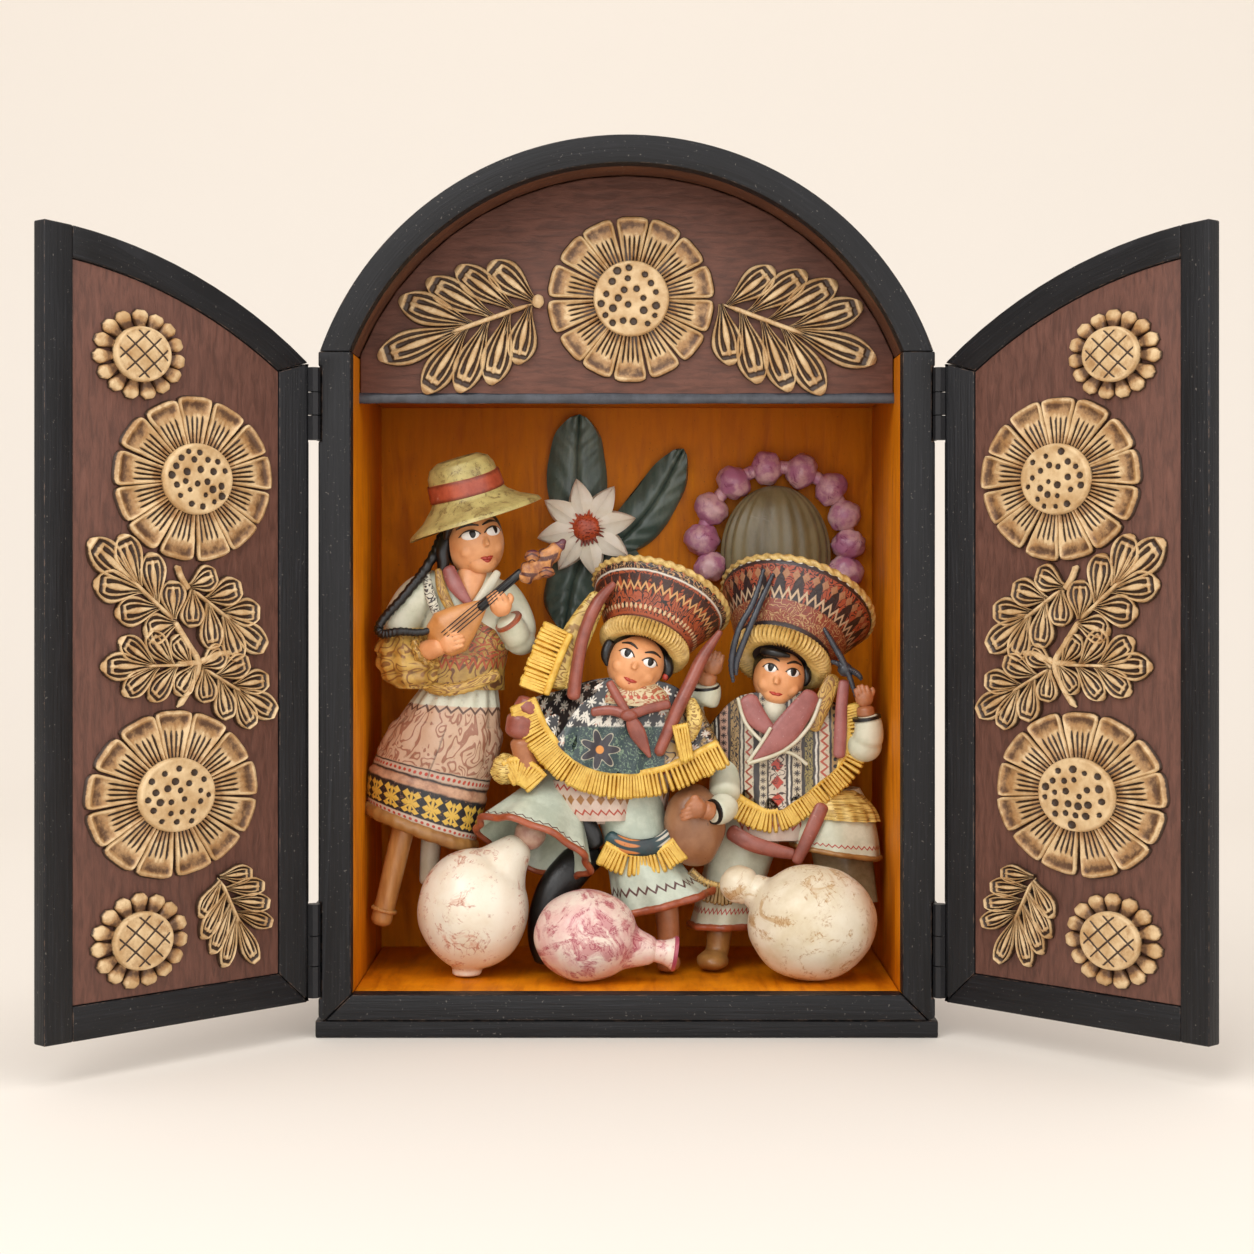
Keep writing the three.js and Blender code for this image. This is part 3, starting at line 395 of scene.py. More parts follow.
whiteGourdClay = clay("whiteGourd", (0.88, 0.81, 0.67), (0.80, 0.68, 0.51), dark=(0.40, 0.16, 0.10), scale=50,
                      rough=0.33,
                      stains={"color": (0.66, 0.34, 0.23), "scale": 62, "low": 0.555, "high": 0.65, "amount": 0.7,
                              "veins": (0.50, 0.19, 0.12)})
pinkGourdClay = clay("pinkGourd", (0.86, 0.73, 0.62), (0.76, 0.46, 0.42), dark=(0.35, 0.06, 0.1), scale=70,
                     rough=0.33,
                     stains={"color": (0.50, 0.12, 0.15), "scale": 84, "low": 0.48, "high": 0.6, "amount": 0.7,
                             "veins": (0.36, 0.03, 0.07)})
crimsonEdge = clay("crimsonEdge", (0.36, 0.05, 0.10), (0.54, 0.15, 0.18), dark=(0.14, 0.01, 0.03), scale=150,
                   rough=0.34)
creamGourdClay = clay("creamGourd", (0.82, 0.74, 0.58), (0.68, 0.57, 0.38), dark=(0.35, 0.2, 0.08), scale=45,
                      rough=0.35,
                      stains={"color": (0.50, 0.29, 0.10), "scale": 70, "low": 0.55, "high": 0.64, "amount": 0.7,
                              "veins": (0.42, 0.22, 0.07)})
jugBrown = clay("jugBrown", (0.36, 0.17, 0.08), (0.25, 0.105, 0.045), dark=(0.06, 0.03, 0.015), scale=70, rough=0.4)
guitarWood = clay("guitarWood", (0.68, 0.31, 0.10), (0.52, 0.21, 0.055), scale=90, rough=0.35)
print("finishes ready")


# Modelling helpers. Lengths are in millimetres, depth is counted back from the front edge of the case.
def at(x, depth, z):
    return Vector((x, frontY + depth, z))


def clearSelection():
    if bpy.context.object and bpy.context.object.mode != "OBJECT":
        bpy.ops.object.mode_set(mode="OBJECT")
    bpy.ops.object.select_all(action="DESELECT")


def select(piece):
    clearSelection()
    piece.select_set(True)
    bpy.context.view_layer.objects.active = piece


def lerp(a, b, t):
    return a + (b - a) * t


def smooth(low, high, value):
    t = min(max((value - low) / (high - low), 0), 1)
    return t * t * (3 - 2 * t)


def bell(value, middle, width):
    return math.exp(-(((value - middle) / width) ** 2))


def sampled(values, t):
    share = min(max(t, 0), 1) * (len(values) - 1)
    low = min(int(share), len(values) - 2)
    a, b = values[low], values[low + 1]
    p = values[max(low - 1, 0)]
    q = values[min(low + 2, len(values) - 1)]
    s = share - low
    return b * s + a * (1 - s) + ((a - p) * (1 - s) - (q - b) * s) * 0.5 * s * (1 - s)


# A grid bent into shape: place(u, v) gives each vertex, paint(u, v) its attributes.
def gridPiece(name, columns, rows, place, paint=None, angle=50, close=True):
    clearSelection()
    bpy.ops.mesh.primitive_grid_add(x_subdivisions=columns, y_subdivisions=rows, size=2)
    piece = bpy.context.object
    piece.name = piece.data.name = name
    mesh = piece.data
    mesh.uv_layers[0].name = "grain"
    shares = [((v.co.x + 1) / 2, (v.co.y + 1) / 2) for v in mesh.vertices]
    if paint:
        painted = [paint(u, v) for u, v in shares]
        for key in painted[0]:
            layer = mesh.attributes.new(key, "FLOAT", "POINT")
            layer.data.foreach_set("value", [p[key] for p in painted])
    for vertex, (u, v) in zip(mesh.vertices, shares):
        vertex.co = place(u, v) * mm
    bpy.ops.object.mode_set(mode="EDIT")
    bpy.ops.mesh.select_all(action="SELECT")
    bpy.ops.mesh.remove_doubles(threshold=0.000002)
    bpy.ops.mesh.select_all(action="SELECT")
    if close:
        bpy.ops.mesh.fill_holes(sides=0)
        bpy.ops.mesh.select_all(action="SELECT")
    bpy.ops.mesh.normals_make_consistent(inside=False)
    bpy.ops.object.mode_set(mode="OBJECT")
    bpy.ops.object.shade_smooth_by_angle(angle=math.radians(angle))
    return piece


def joinPieces(name, parts):
    clearSelection()
    for part in parts:
        part.select_set(True)
    bpy.context.view_layer.objects.active = parts[0]
    if len(parts) > 1:
        bpy.ops.object.join()
    parts[0].name = parts[0].data.name = name
    return parts[0]


def dress(piece, material, body="box", slotName="figure_clay", nodes=()):
    if material:
        piece.data.materials.clear()
        piece.data.materials.append(material)
    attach(piece, body)
    if nodes:
        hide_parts(*nodes)
    return piece


def copyMesh(piece, move):
    twin = piece.copy()
    twin.data = piece.data.copy()
    bpy.context.collection.objects.link(twin)
    for vertex in twin.data.vertices:
        vertex.co = move(vertex.co / mm) * mm
    return twin


# A tube along a path of points, with radii (wide, deep) that change from end to end.
def tube(name, points, radii, around=12, steps=None, wave=None, blunt=False):
    points = [Vector(p) for p in points]
    wide = [r[0] if isinstance(r, tuple) else r for r in radii]
    deep = [r[1] if isinstance(r, tuple) else r for r in radii]
    steps = steps or max(8, (len(points) - 1) * 5)
    steps += 0 if blunt else 6
    shares = [i / steps if blunt else lerp(i / steps, 0.5 - 0.5 * math.cos(math.pi * i / steps), 0.75)
              for i in range(steps + 1)]
    spine = [sampled(points, share) for share in shares]
    length = sum((spine[i + 1] - spine[i]).length for i in range(steps))
    ways = [(spine[min(i + 1, steps)] - spine[max(i - 1, 0)]).normalized() for i in range(steps + 1)]
    side = Vector((0, -1, 0.02)).cross(ways[0]).normalized()
    frames = []
    for way in ways:
        side = (side - way * side.dot(way)).normalized()
        frames.append((side.copy(), way.cross(side).normalized()))

    def place(u, v):
        row = min(int(round(v * steps)), steps)
        turn, share = u * 2 * math.pi, shares[row]
        rw, rd = sampled(wide, share), sampled(deep, share)
        swell = wave(u, share) if wave else 1.0
        if not blunt:
            ease = min(min(share, 1 - share) * length / min(rw * 0.7, length * 0.3), 1)
            swell *= math.sqrt(max(0.004, 1 - (1 - ease) ** 2))
        a, b = frames[row]
        return spine[row] + (a * math.cos(turn) * rw + b * math.sin(turn) * rd) * swell
    return gridPiece(name, around, steps, place)


# A body of stacked elliptical rings: each ring is (centre, rx, ry, slope).
def ringBody(name, rings, around=48, steps=40, shape=None):
    centres = [Vector(r[0]) for r in rings]
    rx = [r[1] for r in rings]
    ry = [r[2] for r in rings]
    slopes = [r[3] if len(r) > 3 else 0.0 for r in rings]

    def place(u, v):
        t = (v - 0.04) / 0.92
        inside = 1.0
        if v < 0.04:
            inside = v / 0.04
            t = 0.0
        elif v > 0.96:
            inside = (1 - v) / 0.04
            t = 1.0
        centre = sampled(centres, t)
        turn = u * 2 * math.pi
        swell = shape(u, t) if shape else 1.0
        x = math.sin(turn) * sampled(rx, t) * swell * inside
        y = -math.cos(turn) * sampled(ry, t) * swell * inside
        return centre + Vector((x, y, sampled(slopes, t) * x))
    return gridPiece(name, around, steps, place, angle=60)


def folded(amount, count, growing=True):
    return lambda u, t: 1 + amount * math.cos(u * 2 * math.pi * count) * (t if growing else 1)


def ball(name, centre, radii, around=28, rows=18, lumpy=0.0, seed=0.0, turn=None):
    centre = Vector(centre)

    def place(u, v):
        a, b = u * 2 * math.pi, v * math.pi
        way = Vector((math.sin(b) * math.sin(a), -math.sin(b) * math.cos(a), -math.cos(b)))
        swell = 1 + lumpy * noise.noise(way * 2.2 + Vector((seed, 0, 0))) if lumpy else 1
        spot = Vector((way.x * radii[0], way.y * radii[1], way.z * radii[2])) * swell
        if turn:
            spot = turn @ spot
        return centre + spot
    return gridPiece(name, around, rows, place)


# A turned piece: profile of (radius, height) along the axis from -> to, with a wave for fringes and ropes.
def turned(name, profile, start, end, around=64, steps=40, wave=None, squash=1.0):
    start, end = Vector(start), Vector(end)
    axis = (end - start).normalized()
    side = Vector((0, -1, 0)).cross(axis).normalized()
    other = axis.cross(side).normalized()
    radii = [p[0] for p in profile]
    heights = [p[1] for p in profile]

    def place(u, v):
        turn = u * 2 * math.pi
        share = v * (len(profile) - 1)
        low = min(int(share), len(profile) - 2)
        r = lerp(radii[low], radii[low + 1], share - low)
        h = lerp(heights[low], heights[low + 1], share - low)
        if wave:
            r, h = wave(u, v, r, h)
        return start + axis * h + side * math.cos(turn) * r + other * math.sin(turn) * r * squash
    return gridPiece(name, around, steps, place)


# Boards: the CAD solids with softened edges and a direction of grain.
arch = {"z": 231.6, "outer": 130.3, "board": 129.4, "inner": 119.0, "spring": 275.3}
softEdge = {"width": 0.7, "segments": 2, "narrow": 0.62}


def grainUv(piece, follow):
    mesh = piece.data
    layer = mesh.uv_layers.get("grain") or mesh.uv_layers.new(name="grain")
    spots = [follow(v.co / mm) for v in mesh.vertices]
    for loop in mesh.loops:
        a, b = spots[loop.vertex_index]
        layer.data[loop.index].uv = (a * mm, b * mm)


def alongZ(p):
    return p.z, p.x + p.y


def alongX(p):
    return p.x, p.y + p.z


def alongY(p):
    return p.y, p.x + p.z


def alongArch(p):
    radius = math.hypot(p.x, p.z - arch["z"])
    return math.atan2(p.z - arch["z"], p.x) * arch["inner"], radius + p.y


def softenedBoard(node, material, body, slotName, follow, width=None):
    source = frame["nodes"][node]
    piece = source.copy()
    piece.data = source.data.copy()
    piece.parent = None
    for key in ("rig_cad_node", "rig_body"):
        if key in piece:
            del piece[key]
    piece.name = piece.data.name = node + "_wood"
    bpy.context.collection.objects.link(piece)
    select(piece)
    bpy.ops.object.mode_set(mode="EDIT")
    bpy.ops.mesh.select_all(action="SELECT")
    bpy.ops.mesh.remove_doubles(threshold=0.00001)
    bpy.ops.mesh.dissolve_limited(angle_limit=math.radians(1.5))
    bpy.ops.mesh.select_all(action="DESELECT")
    bpy.ops.mesh.select_mode(type="EDGE")
    bpy.ops.mesh.edges_select_sharp(sharpness=math.radians(35))
    bpy.ops.mesh.bevel(offset=(width or softEdge["width"]) * mm, segments=softEdge["segments"], affect="EDGES")
    bpy.ops.object.mode_set(mode="OBJECT")
    mesh = piece.data
    rounded = [True] * len(mesh.vertices)
    for face in mesh.polygons:
        ring = [mesh.vertices[i].co for i in face.vertices]
        longest = max((ring[i] - ring[i - 1]).length for i in range(len(ring)))
        if face.area / longest > softEdge["narrow"] * mm:
            for index in face.vertices:
                rounded[index] = False
    layer = mesh.attributes.new("edge", "FLOAT", "POINT")
    layer.data.foreach_set("value", [float(r) for r in rounded])
    bpy.ops.object.shade_smooth_by_angle(angle=math.radians(35))
    grainUv(piece, follow)
    return dress(piece, material, body, slotName, [node])


def archPiece(name, outer, inner, y0, y1, material, node, slotName):
    soft = softEdge["width"]
    section = []
    for r, y, dr, dy in ((inner, y0, 1, 1), (outer, y0, -1, 1), (outer, y1, -1, -1), (inner, y1, 1, -1)):
        corner = [((r, y + dy * soft), 0), ((r + dr * soft * 0.3, y + dy * soft * 0.3), 1), ((r + dr * soft, y), 0)]
        section += corner if dr * dy > 0 else corner[::-1]
    count = len(section)

    def place(u, v):
        r, y = section[int(round(u * count)) % count][0]
        turn = math.asin((arch["spring"] - arch["z"]) / r)
        turn = lerp(turn, math.pi - turn, v)
        return Vector((r * math.cos(turn), y, arch["z"] + r * math.sin(turn)))

    def paint(u, v):
        return {"edge": float(section[int(round(u * count)) % count][1])}
    piece = gridPiece(name, count, 84, place, paint, angle=35)
    grainUv(piece, alongArch)
    return dress(piece, material, "box", slotName, [node])


archPiece("frame_arch_wood", arch["outer"], arch["inner"], frontY, frontY + 10, blackWood, "frame_arch",
          "black_wood")
# The arch board gets the brown wood, painted shade on the underside of the arch.
archPiece("arch_board_wood", arch["board"], arch["inner"], frontY + 10.3, 57.7, brownWood, "arch_board",
          "orange_wood")
boardFaces = {"back_board": (orangeWood, Vector((0, -1, 0))), "side_board_left": (brownWood, Vector((-1, 0, 0))),
              "side_board_right": (brownWood, Vector((1, 0, 0)))}
for node, material, slotName, follow in (
        ("plinth", blackWood, "black_wood", alongX), ("back_board", blackWood, "black_wood", alongZ),
        ("frame_stile_left", blackWood, "black_wood", alongZ),
    ("frame_stile_right", blackWood, "black_wood", alongZ),
        ("frame_sill", blackWood, "black_wood", alongX), ("floor_board", orangeWood, "orange_wood", alongY),
        ("side_board_left", orangeWood, "orange_wood", alongZ),
    ("side_board_right", orangeWood, "orange_wood", alongZ),
        ("ceiling_board", orangeWood, "orange_wood", alongX), ("tympanum", redWood, "red_wood", alongX)):
    board = softenedBoard(node, material, "box", slotName, follow)
    if node in boardFaces:
        otherWood, way = boardFaces[node]
        board.data.materials.append(otherWood)
        for face in board.data.polygons:
            face.material_index = int(face.normal.dot(way) > 0.7)
print("case ready")


# Places on a door: a runs from the hinge axis, n out of the board, z up. Both doors stand equally open.
doorHinge = {"x": 125.2, "open": math.radians(133.2)}
tympanumFace = {"depth": 31, "sink": 0.3}


def doorSpot(side):
    c, s = math.cos(doorHinge["open"]), math.sin(doorHinge["open"])

    def spot(a, n, z):
        x, y = c * a + s * n, -s * a + c * n
        return Vector((side * (doorHinge["x"] - x), frontY + y, z))
    return spot


def doorFollow(side, way):
    c, s = math.cos(doorHinge["open"]), math.sin(doorHinge["open"])
    arc = {"s": 138.9, "z": 87.1}

    def follow(p):
        x = doorHinge["x"] - side * p.x
        y = p.y - frontY
        a, n = c * x - s * y, s * x + c * y
        if way == "up":
            return p.z, a + n
        if way == "arc":
            return math.atan2(p.z - arc["z"], a - arc["s"]) * 220, math.hypot(p.z - arc["z"], a - arc["s"]) + n
        return a, p.z + n
    return follow


freeStile = {"innerEdge": 113.9, "overlap": 0.45}


def closeJoint(board, side):
    turn = doorHinge["open"]
    inward = Vector((side * math.cos(turn), math.sin(turn), 0)) * freeStile["overlap"] * mm
    across = doorFollow(side, "across")
    for vertex in board.data.vertices:
        if across(vertex.co / mm)[0] < freeStile["innerEdge"]:
            vertex.co += inward


def tympanumSpot(a, n, z):
    return Vector((a, frontY + tympanumFace["depth"] - tympanumFace["sink"] - n, z))


for side, prefix in ((-1, "left_"), (1, "right_")):
    body = prefix + "door"
    for node, way in (("stile_hinge", "up"), ("stile_free", "up"), ("rail_bottom", "across"), ("rail_top", "arc")):
        board = softenedBoard(prefix + node, blackWood, body, "black_wood", doorFollow(side, way))
        if node == "stile_free":
            closeJoint(board, side)
    softenedBoard(prefix + "panel", redWood, body, "red_wood", doorFollow(side, "up"), 0.3)
print("doors ready")


# Carved clay: petals, discs and lobes are shaped once and then laid on a board.
flowerShape = {"petalHeight": 3.1, "discHeight": 5.1, "holes": 27, "holeSize": 0.088, "flutes": 6, "gap": 0.972}
rosetteShape = {"petalHeight": 3.1, "discHeight": 4.9, "hatch": 4.6, "gap": 0.97}


def broadPetal():
    flutes = flowerShape["flutes"]

    def form(u, v):
        x, y = u * 2 - 1, v
        rim = min((1 - abs(x)) / 0.1, (1 - y) / 0.07)
        rise = math.sqrt(max(0, 1 - (1 - min(rim, 1)) ** 2))
        inside = min((1 - abs(x)), (1 - y) * 1.9)
        ridge = bell(inside, 0.15, 0.1)
        reach = 0.62 + 0.12 * (1 - abs(x)) + 0.05 * math.cos(x * 11)
        flute = ((0.5 - 0.5 * math.cos(math.pi * (x * 0.88 + 1) * flutes)) ** 1.4
                 * (1 - smooth(reach - 0.2, reach, y)))
        flute *= 1 - smooth(0.84, 0.94, abs(x))
        dish = smooth(0.5, 0.85, y) * smooth(1.0, 0.93, y) * smooth(1.0, 0.72, abs(x))
        height = rise * (0.62 + 0.3 * ridge - 0.36 * flute - 0.3 * dish + 0.12 * y)
        return x, y, height, rise, flute, dish

    def place(u, v):
        x, y, height, *_ = form(u, v)
        pinch = 1 - 0.1 * smooth(0.82, 1, y) ** 2
        return Vector((x * pinch, height, y * (1 - 0.075 * abs(x) ** 4)))

    def paint(u, v):
        x, y, height, rise, flute, dish = form(u, v)
        inside = min((1 - abs(x)), (1 - y) * 1.9)
        # These marks darken the dish, the rims between petals, the flutes and the base under the disc, as painted
        # shade with a burnt wash; the ridge stays light.
        return {"groove": max(flute * 0.95, (1 - rise), smooth(0.12, 0.0, y)),
                "burn": max(dish * 0.92, 0.6 * smooth(0.45, 0.1, y),
                            0.7 * (1 - rise)) * (1 - 0.75 * bell(inside, 0.15, 0.07))}
    return gridPiece("petal", 34, 26, place, paint)


def plumpPetal():
    def form(u, v):
        x, y = u * 2 - 1, v
        rim = min((1 - abs(x)) / 0.55, (1 - y) / 0.32)
        rise = math.sqrt(max(0, 1 - (1 - min(rim, 1)) ** 2))
        return x, y, rise

    def place(u, v):
        x, y, rise = form(u, v)
        wide = 0.74 + 0.26 * smooth(0.0, 0.55, y)
        wide *= 1 - 0.62 * smooth(0.62, 1, y) ** 1.6
        return Vector((x * wide, rise * (0.62 + 0.36 * y), y))

    def paint(u, v):
        x, y, rise = form(u, v)
        return {"groove": max((1 - rise) * 0.7, smooth(0.2, 0.0, y)), "burn": 0.95 * bell(y, 0.3, 0.3)
                + 0.5 * (1 - rise)}
    return gridPiece("petal", 14, 14, place, paint)


def scatter(count, apart, reach):
    spots = []
    tries = 0
    while len(spots) < count and tries < 4000:
        tries += 1
        a, r = rng.uniform(0, 2 * math.pi), reach * math.sqrt(rng.random())
        spot = (r * math.cos(a), r * math.sin(a))
        if all(math.hypot(spot[0] - o[0], spot[1] - o[1]) > apart for o in spots):
            spots.append(spot)
    return spots


def discPiece(centre, radii, share, height, spot, kind):
    holes = scatter(flowerShape["holes"], 0.27, 0.84) if kind == "flower" else []
    sizes = [flowerShape["holeSize"] * rng.uniform(0.75, 1.2) for _ in holes]

    def form(u, v):
        turn = u * 2 * math.pi
        r = min(v / 0.88, 1)
        wall = max(0, (v - 0.88) / 0.12)
        x, z = r * math.cos(turn), r * math.sin(turn)
        dig = 0.0
        for (hx, hz), size in zip(holes, sizes):
            away = math.hypot(x - hx, z - hz)
            if away < size * 1.5:
                dig = max(dig, 1 - smooth(size * 0.75, size * 1.35, away))
        hatch = 0.0
        if kind != "flower":
            k = rosetteShape["hatch"]
            a = abs(math.sin((x + z) * k))
            b = abs(math.sin((x - z) * k))
            hatch = max(1 - smooth(0.0, 0.42, a), 1 - smooth(0.0, 0.42, b)) * (1 - smooth(0.86, 0.95, r))
        return x, z, r, wall, dig, hatch

    def place(u, v):
        x, z, r, wall, dig, hatch = form(u, v)
        edge = bell(r, 0.95, 0.05) * 0.05
        top = 0.99 - 0.15 * r ** 2.4 + edge - 0.26 * dig - 0.11 * hatch
        top *= (1 - wall) if wall < 1 else 0
        swell = 1 + 0.03 * math.sin(math.pi * wall)
        return spot(centre[0] + radii[0] * share * x * swell, height * max(top, 0),
                    centre[1] + radii[1] * share * z * swell)

    def paint(u, v):
        x, z, r, wall, dig, hatch = form(u, v)
        return {"groove": max(dig, hatch * 0.9, wall * 0.9), "burn": 0.25 * bell(r, 0.7, 0.3) * (kind != "flower")
                + 0.3 * wall}
    return gridPiece("disc", 120, 40, place, paint)


def flowerPiece(name, spot, centre, radii, petals, share, kind, body, node):
    shape = flowerShape if kind == "flower" else rosetteShape
    master = broadPetal() if kind == "flower" else plumpPetal()
    start = share * 0.9
    parts = []
    for k in range(petals):
        turn = math.pi / 2 + k * 2 * math.pi / petals + rng.uniform(-0.02, 0.02)
        reach = rng.uniform(0.965, 0.99)
        tall = shape["petalHeight"] * rng.uniform(0.9, 1.0)
        lean = rng.uniform(-0.05, 0.05)
        c, s = math.cos(turn), math.sin(turn)

        def move(p, c=c, s=s, reach=reach, tall=tall, lean=lean):
            r = start + p.z * (reach - start)
            w = (p.x + lean * p.z) * r * math.tan(math.pi / petals) * shape["gap"]
            return spot(centre[0] + radii[0] * (r * c - w * s), tall * p.y, centre[1] + radii[1] * (r * s + w * c))
        parts.append(copyMesh(master, move))
    bpy.data.objects.remove(master)
    parts.append(discPiece(centre, radii, share, shape["discHeight"], spot, kind))
    piece = joinPieces(name, parts)
    outward(piece)
    return dress(piece, goldClay, body, "gold_clay", [node])


def outward(piece):
    select(piece)
    bpy.ops.object.mode_set(mode="EDIT")
    bpy.ops.mesh.select_all(action="SELECT")
    bpy.ops.mesh.normals_make_consistent(inside=False)
    bpy.ops.object.mode_set(mode="OBJECT")


def lobeMaster():
    def form(u, v):
        x, y = u * 2 - 1, 1 - (1 - v) ** 1.7
        rim = min((1 - abs(x)) / 0.16, (1 - y) / 0.07)
        rise = math.sqrt(max(0, 1 - (1 - min(rim, 1)) ** 2))
        inner = min(1 - abs(x), (1 - y) * 2.6)
        spindle = 0.04 + 0.16 * math.sin(math.pi * min(max((y - 0.1) / 0.7, 0), 1))
        heart = smooth(spindle + 0.12, spindle - 0.1, abs(x)) * smooth(0.88, 0.76, y)
        ridges = bell(inner, 0.17, 0.12) + 0.8 * bell(inner, 0.54, 0.1) + 0.9 * heart
        return x, y, rise, min(ridges, 1)

    def place(u, v):
        x, y, rise, ridges = form(u, v)
        tipShare = max(0, (y - 0.64) / 0.36)
        wide = 0.17 + 0.83 * math.sin(math.pi / 2 * min(y / 0.66, 1)) ** 1.7
        wide *= max(0.02, 1 - tipShare ** 1.9) ** 0.7
        return Vector((x * wide, rise * (0.42 + 0.58 * ridges), y))

    def paint(u, v):
        x, y, rise, ridges = form(u, v)
        # The valleys between the ridges are darkened, as painted shade with a burnt wash.
        return {"groove": max(0.92 * (1 - ridges) * (y < 0.96), (1 - rise) * 0.95),
                "burn": 0.45 * (1 - ridges) + 0.1}
    return gridPiece("lobe", 36, 24, place, paint)


def leafPiece(spot, base, tip, half, lobes, height=3.1):
    master = lobeMaster()
    base, tip = Vector(base), Vector(tip)
    axis = tip - base
    length = axis.length
    axis = axis / length
    across = Vector((-axis.y, axis.x))
    layout = []
    for i in range(lobes):
        f = i / (lobes - 1)
        swell = 0.78 + 0.2 * math.sin(math.pi * (0.1 + 0.9 * f))
        for sign in (-1, 1):
            start = base + axis * length * (0.01 + 0.4 * f + 0.02 * sign) + across * sign * 0.2
            end = base + axis * length * (0.2 + 0.58 * f
                                          + 0.02 * sign) + across * sign * half * swell * rng.uniform(0.94, 1)
            layout.append((start, end, length * 0.43 / (lobes + 0.2) * rng.uniform(0.94, 1.04)))
    layout.append((base + axis * length * 0.45, base + axis * length * 0.995, length * 0.45 / (lobes + 0.2)))
    parts = []
    for start, end, wide in layout:
        way = end - start
        side = Vector((-way.y, way.x)).normalized()
        tall = height * rng.uniform(0.84, 0.96)

        def move(p, start=start, way=way, side=side, wide=wide, tall=tall):
            flat = start + way * p.z + side * wide * p.x
            return spot(flat.x, tall * p.y, flat.y)
        parts.append(copyMesh(master, move))
    bpy.data.objects.remove(master)
    parts.append(ribPiece(spot, [base, base + axis * length * 0.55], length * 0.016, height))
    return parts


def ribPiece(spot, points, half, height):
    points = [Vector(p) for p in points]
    steps = max(6, (len(points) - 1) * 5)

    def place(u, v):
        flat = sampled(points, v)
        ahead = (sampled(points, min(v + 0.04, 1)) - sampled(points, max(v - 0.04, 0))).normalized()
        side = Vector((-ahead.y, ahead.x))
        x = u * 2 - 1
        ends = min(1, v / 0.04 + 0.3, (1 - v) / 0.04 + 0.3)
        flat = flat + side * half * x * ends
        return spot(flat.x, height * math.sqrt(max(0, 1 - x ** 4)) * ends, flat.y)

    def paint(u, v):
        return {"groove": 0.8 * smooth(0.7, 1, abs(u * 2 - 1)), "burn": 0.2}
    return gridPiece("rib", 10, steps, place, paint)


def leafGroup(name, parts, body, node):
    piece = joinPieces(name, parts)
    outward(piece)
    return dress(piece, goldClay, body, "gold_clay", [node])


flowerPiece("tympanum_flower_clay", tympanumSpot, (1.9, 299.2), (35.4, 35.4), 14, 0.43, "flower", "box",
            "tympanum_flower")
for name, base, tip in (("left", (-38, 297.4), (-103.4, 274.6)), ("right", (39.5, 297), (103.6, 273.2))):
    leafGroup(f"tympanum_leaf_{name}_clay", leafPiece(tympanumSpot, base, tip, 27, 4), "box",
              "tympanum_leaf_" + name)

doorFlowers = (
    ("rosette_top", (83.8, 268.5), (21.3, 17.5), 15, 0.58, "rosette"),
    ("flower_upper", (58.6, 222.4), (38.2, 32.4), 13, 0.41, "flower"),
    ("flower_lower", (68.3, 102.6), (40.6, 32.6), 13, 0.42, "flower"),
    ("rosette_bottom", (83.5, 49), (22.4, 18.4), 15, 0.58, "rosette"))
sprigStalks = (
    (((67, 189.5), (64.8, 184.5), (61.4, 180)), 1.35),
    (((69, 169), (62, 159.6), (57, 152), (60.4, 143.6), (66.5, 135.5)), 1.35),
    (((41, 155.5), (49, 155.2), (57, 152)), 1.25), (((67, 152), (62, 152.2), (57, 152)), 1.25))
sprigLeaves = (((68, 168), (106.7, 199), 14.5), ((61.5, 181), (24, 156), 14.5),
               ((60, 151.5), (101.5, 152), 13.5), ((56, 150.5), (18.8, 130.5), 13.5))
for side, prefix in ((-1, "left_"), (1, "right_")):
    local = doorSpot(side)
    spot = (lambda local: lambda a, n, z: local(a, n - 0.8, z))(local)
    body = prefix + "door"
    for name, centre, radii, petals, share, kind in doorFlowers:
        flowerPiece(prefix + name + "_clay", spot, centre, radii, petals, share, kind, body, prefix + name)
    parts = [ribPiece(spot, points, half, 2.5) for points, half in sprigStalks]
    for base, tip, half in sprigLeaves:
        parts += leafPiece(spot, base, tip, half, 3)
    leafGroup(prefix + "sprig_clay", parts, body, prefix + "sprig")
    leafGroup(prefix + "leaf_bottom_clay", leafPiece(spot, (47.5, 69), (29, 33.3), 18.5, 4), body,
              prefix + "leaf_bottom")
print("reliefs ready")


# Gourds, jug, plant, garland and dome.
def blendParts(name, parts, voxel=0.9, soften=6):
    piece = joinPieces(name, parts)
    select(piece)
    remesh = piece.modifiers.new("Remesh", "REMESH")
    remesh.mode = "VOXEL"
    remesh.voxel_size = voxel * mm
    bpy.ops.object.modifier_apply(modifier="Remesh")
    ease = piece.modifiers.new("Smooth", "SMOOTH")
    ease.factor = 0.5
    ease.iterations = soften
    bpy.ops.object.modifier_apply(modifier="Smooth")
    bpy.ops.object.shade_smooth_by_angle(angle=math.radians(60))
    return piece


gourdShape = {
    "white": {"at": at(-64.2, 41, 45.9), "r": (23.2, 21.8, 25.2)},
    "pink": {"at": at(-16.6, 28, 37), "r": (21.6, 18.6, 18.9)},
    "cream": {"at": at(76.5, 29.5, 42), "r": (26.7, 20.3, 23.9)},
    "jug": {"at": at(28.4, 50, 79.7), "r": (12.9, 10.4, 17.2)},
}


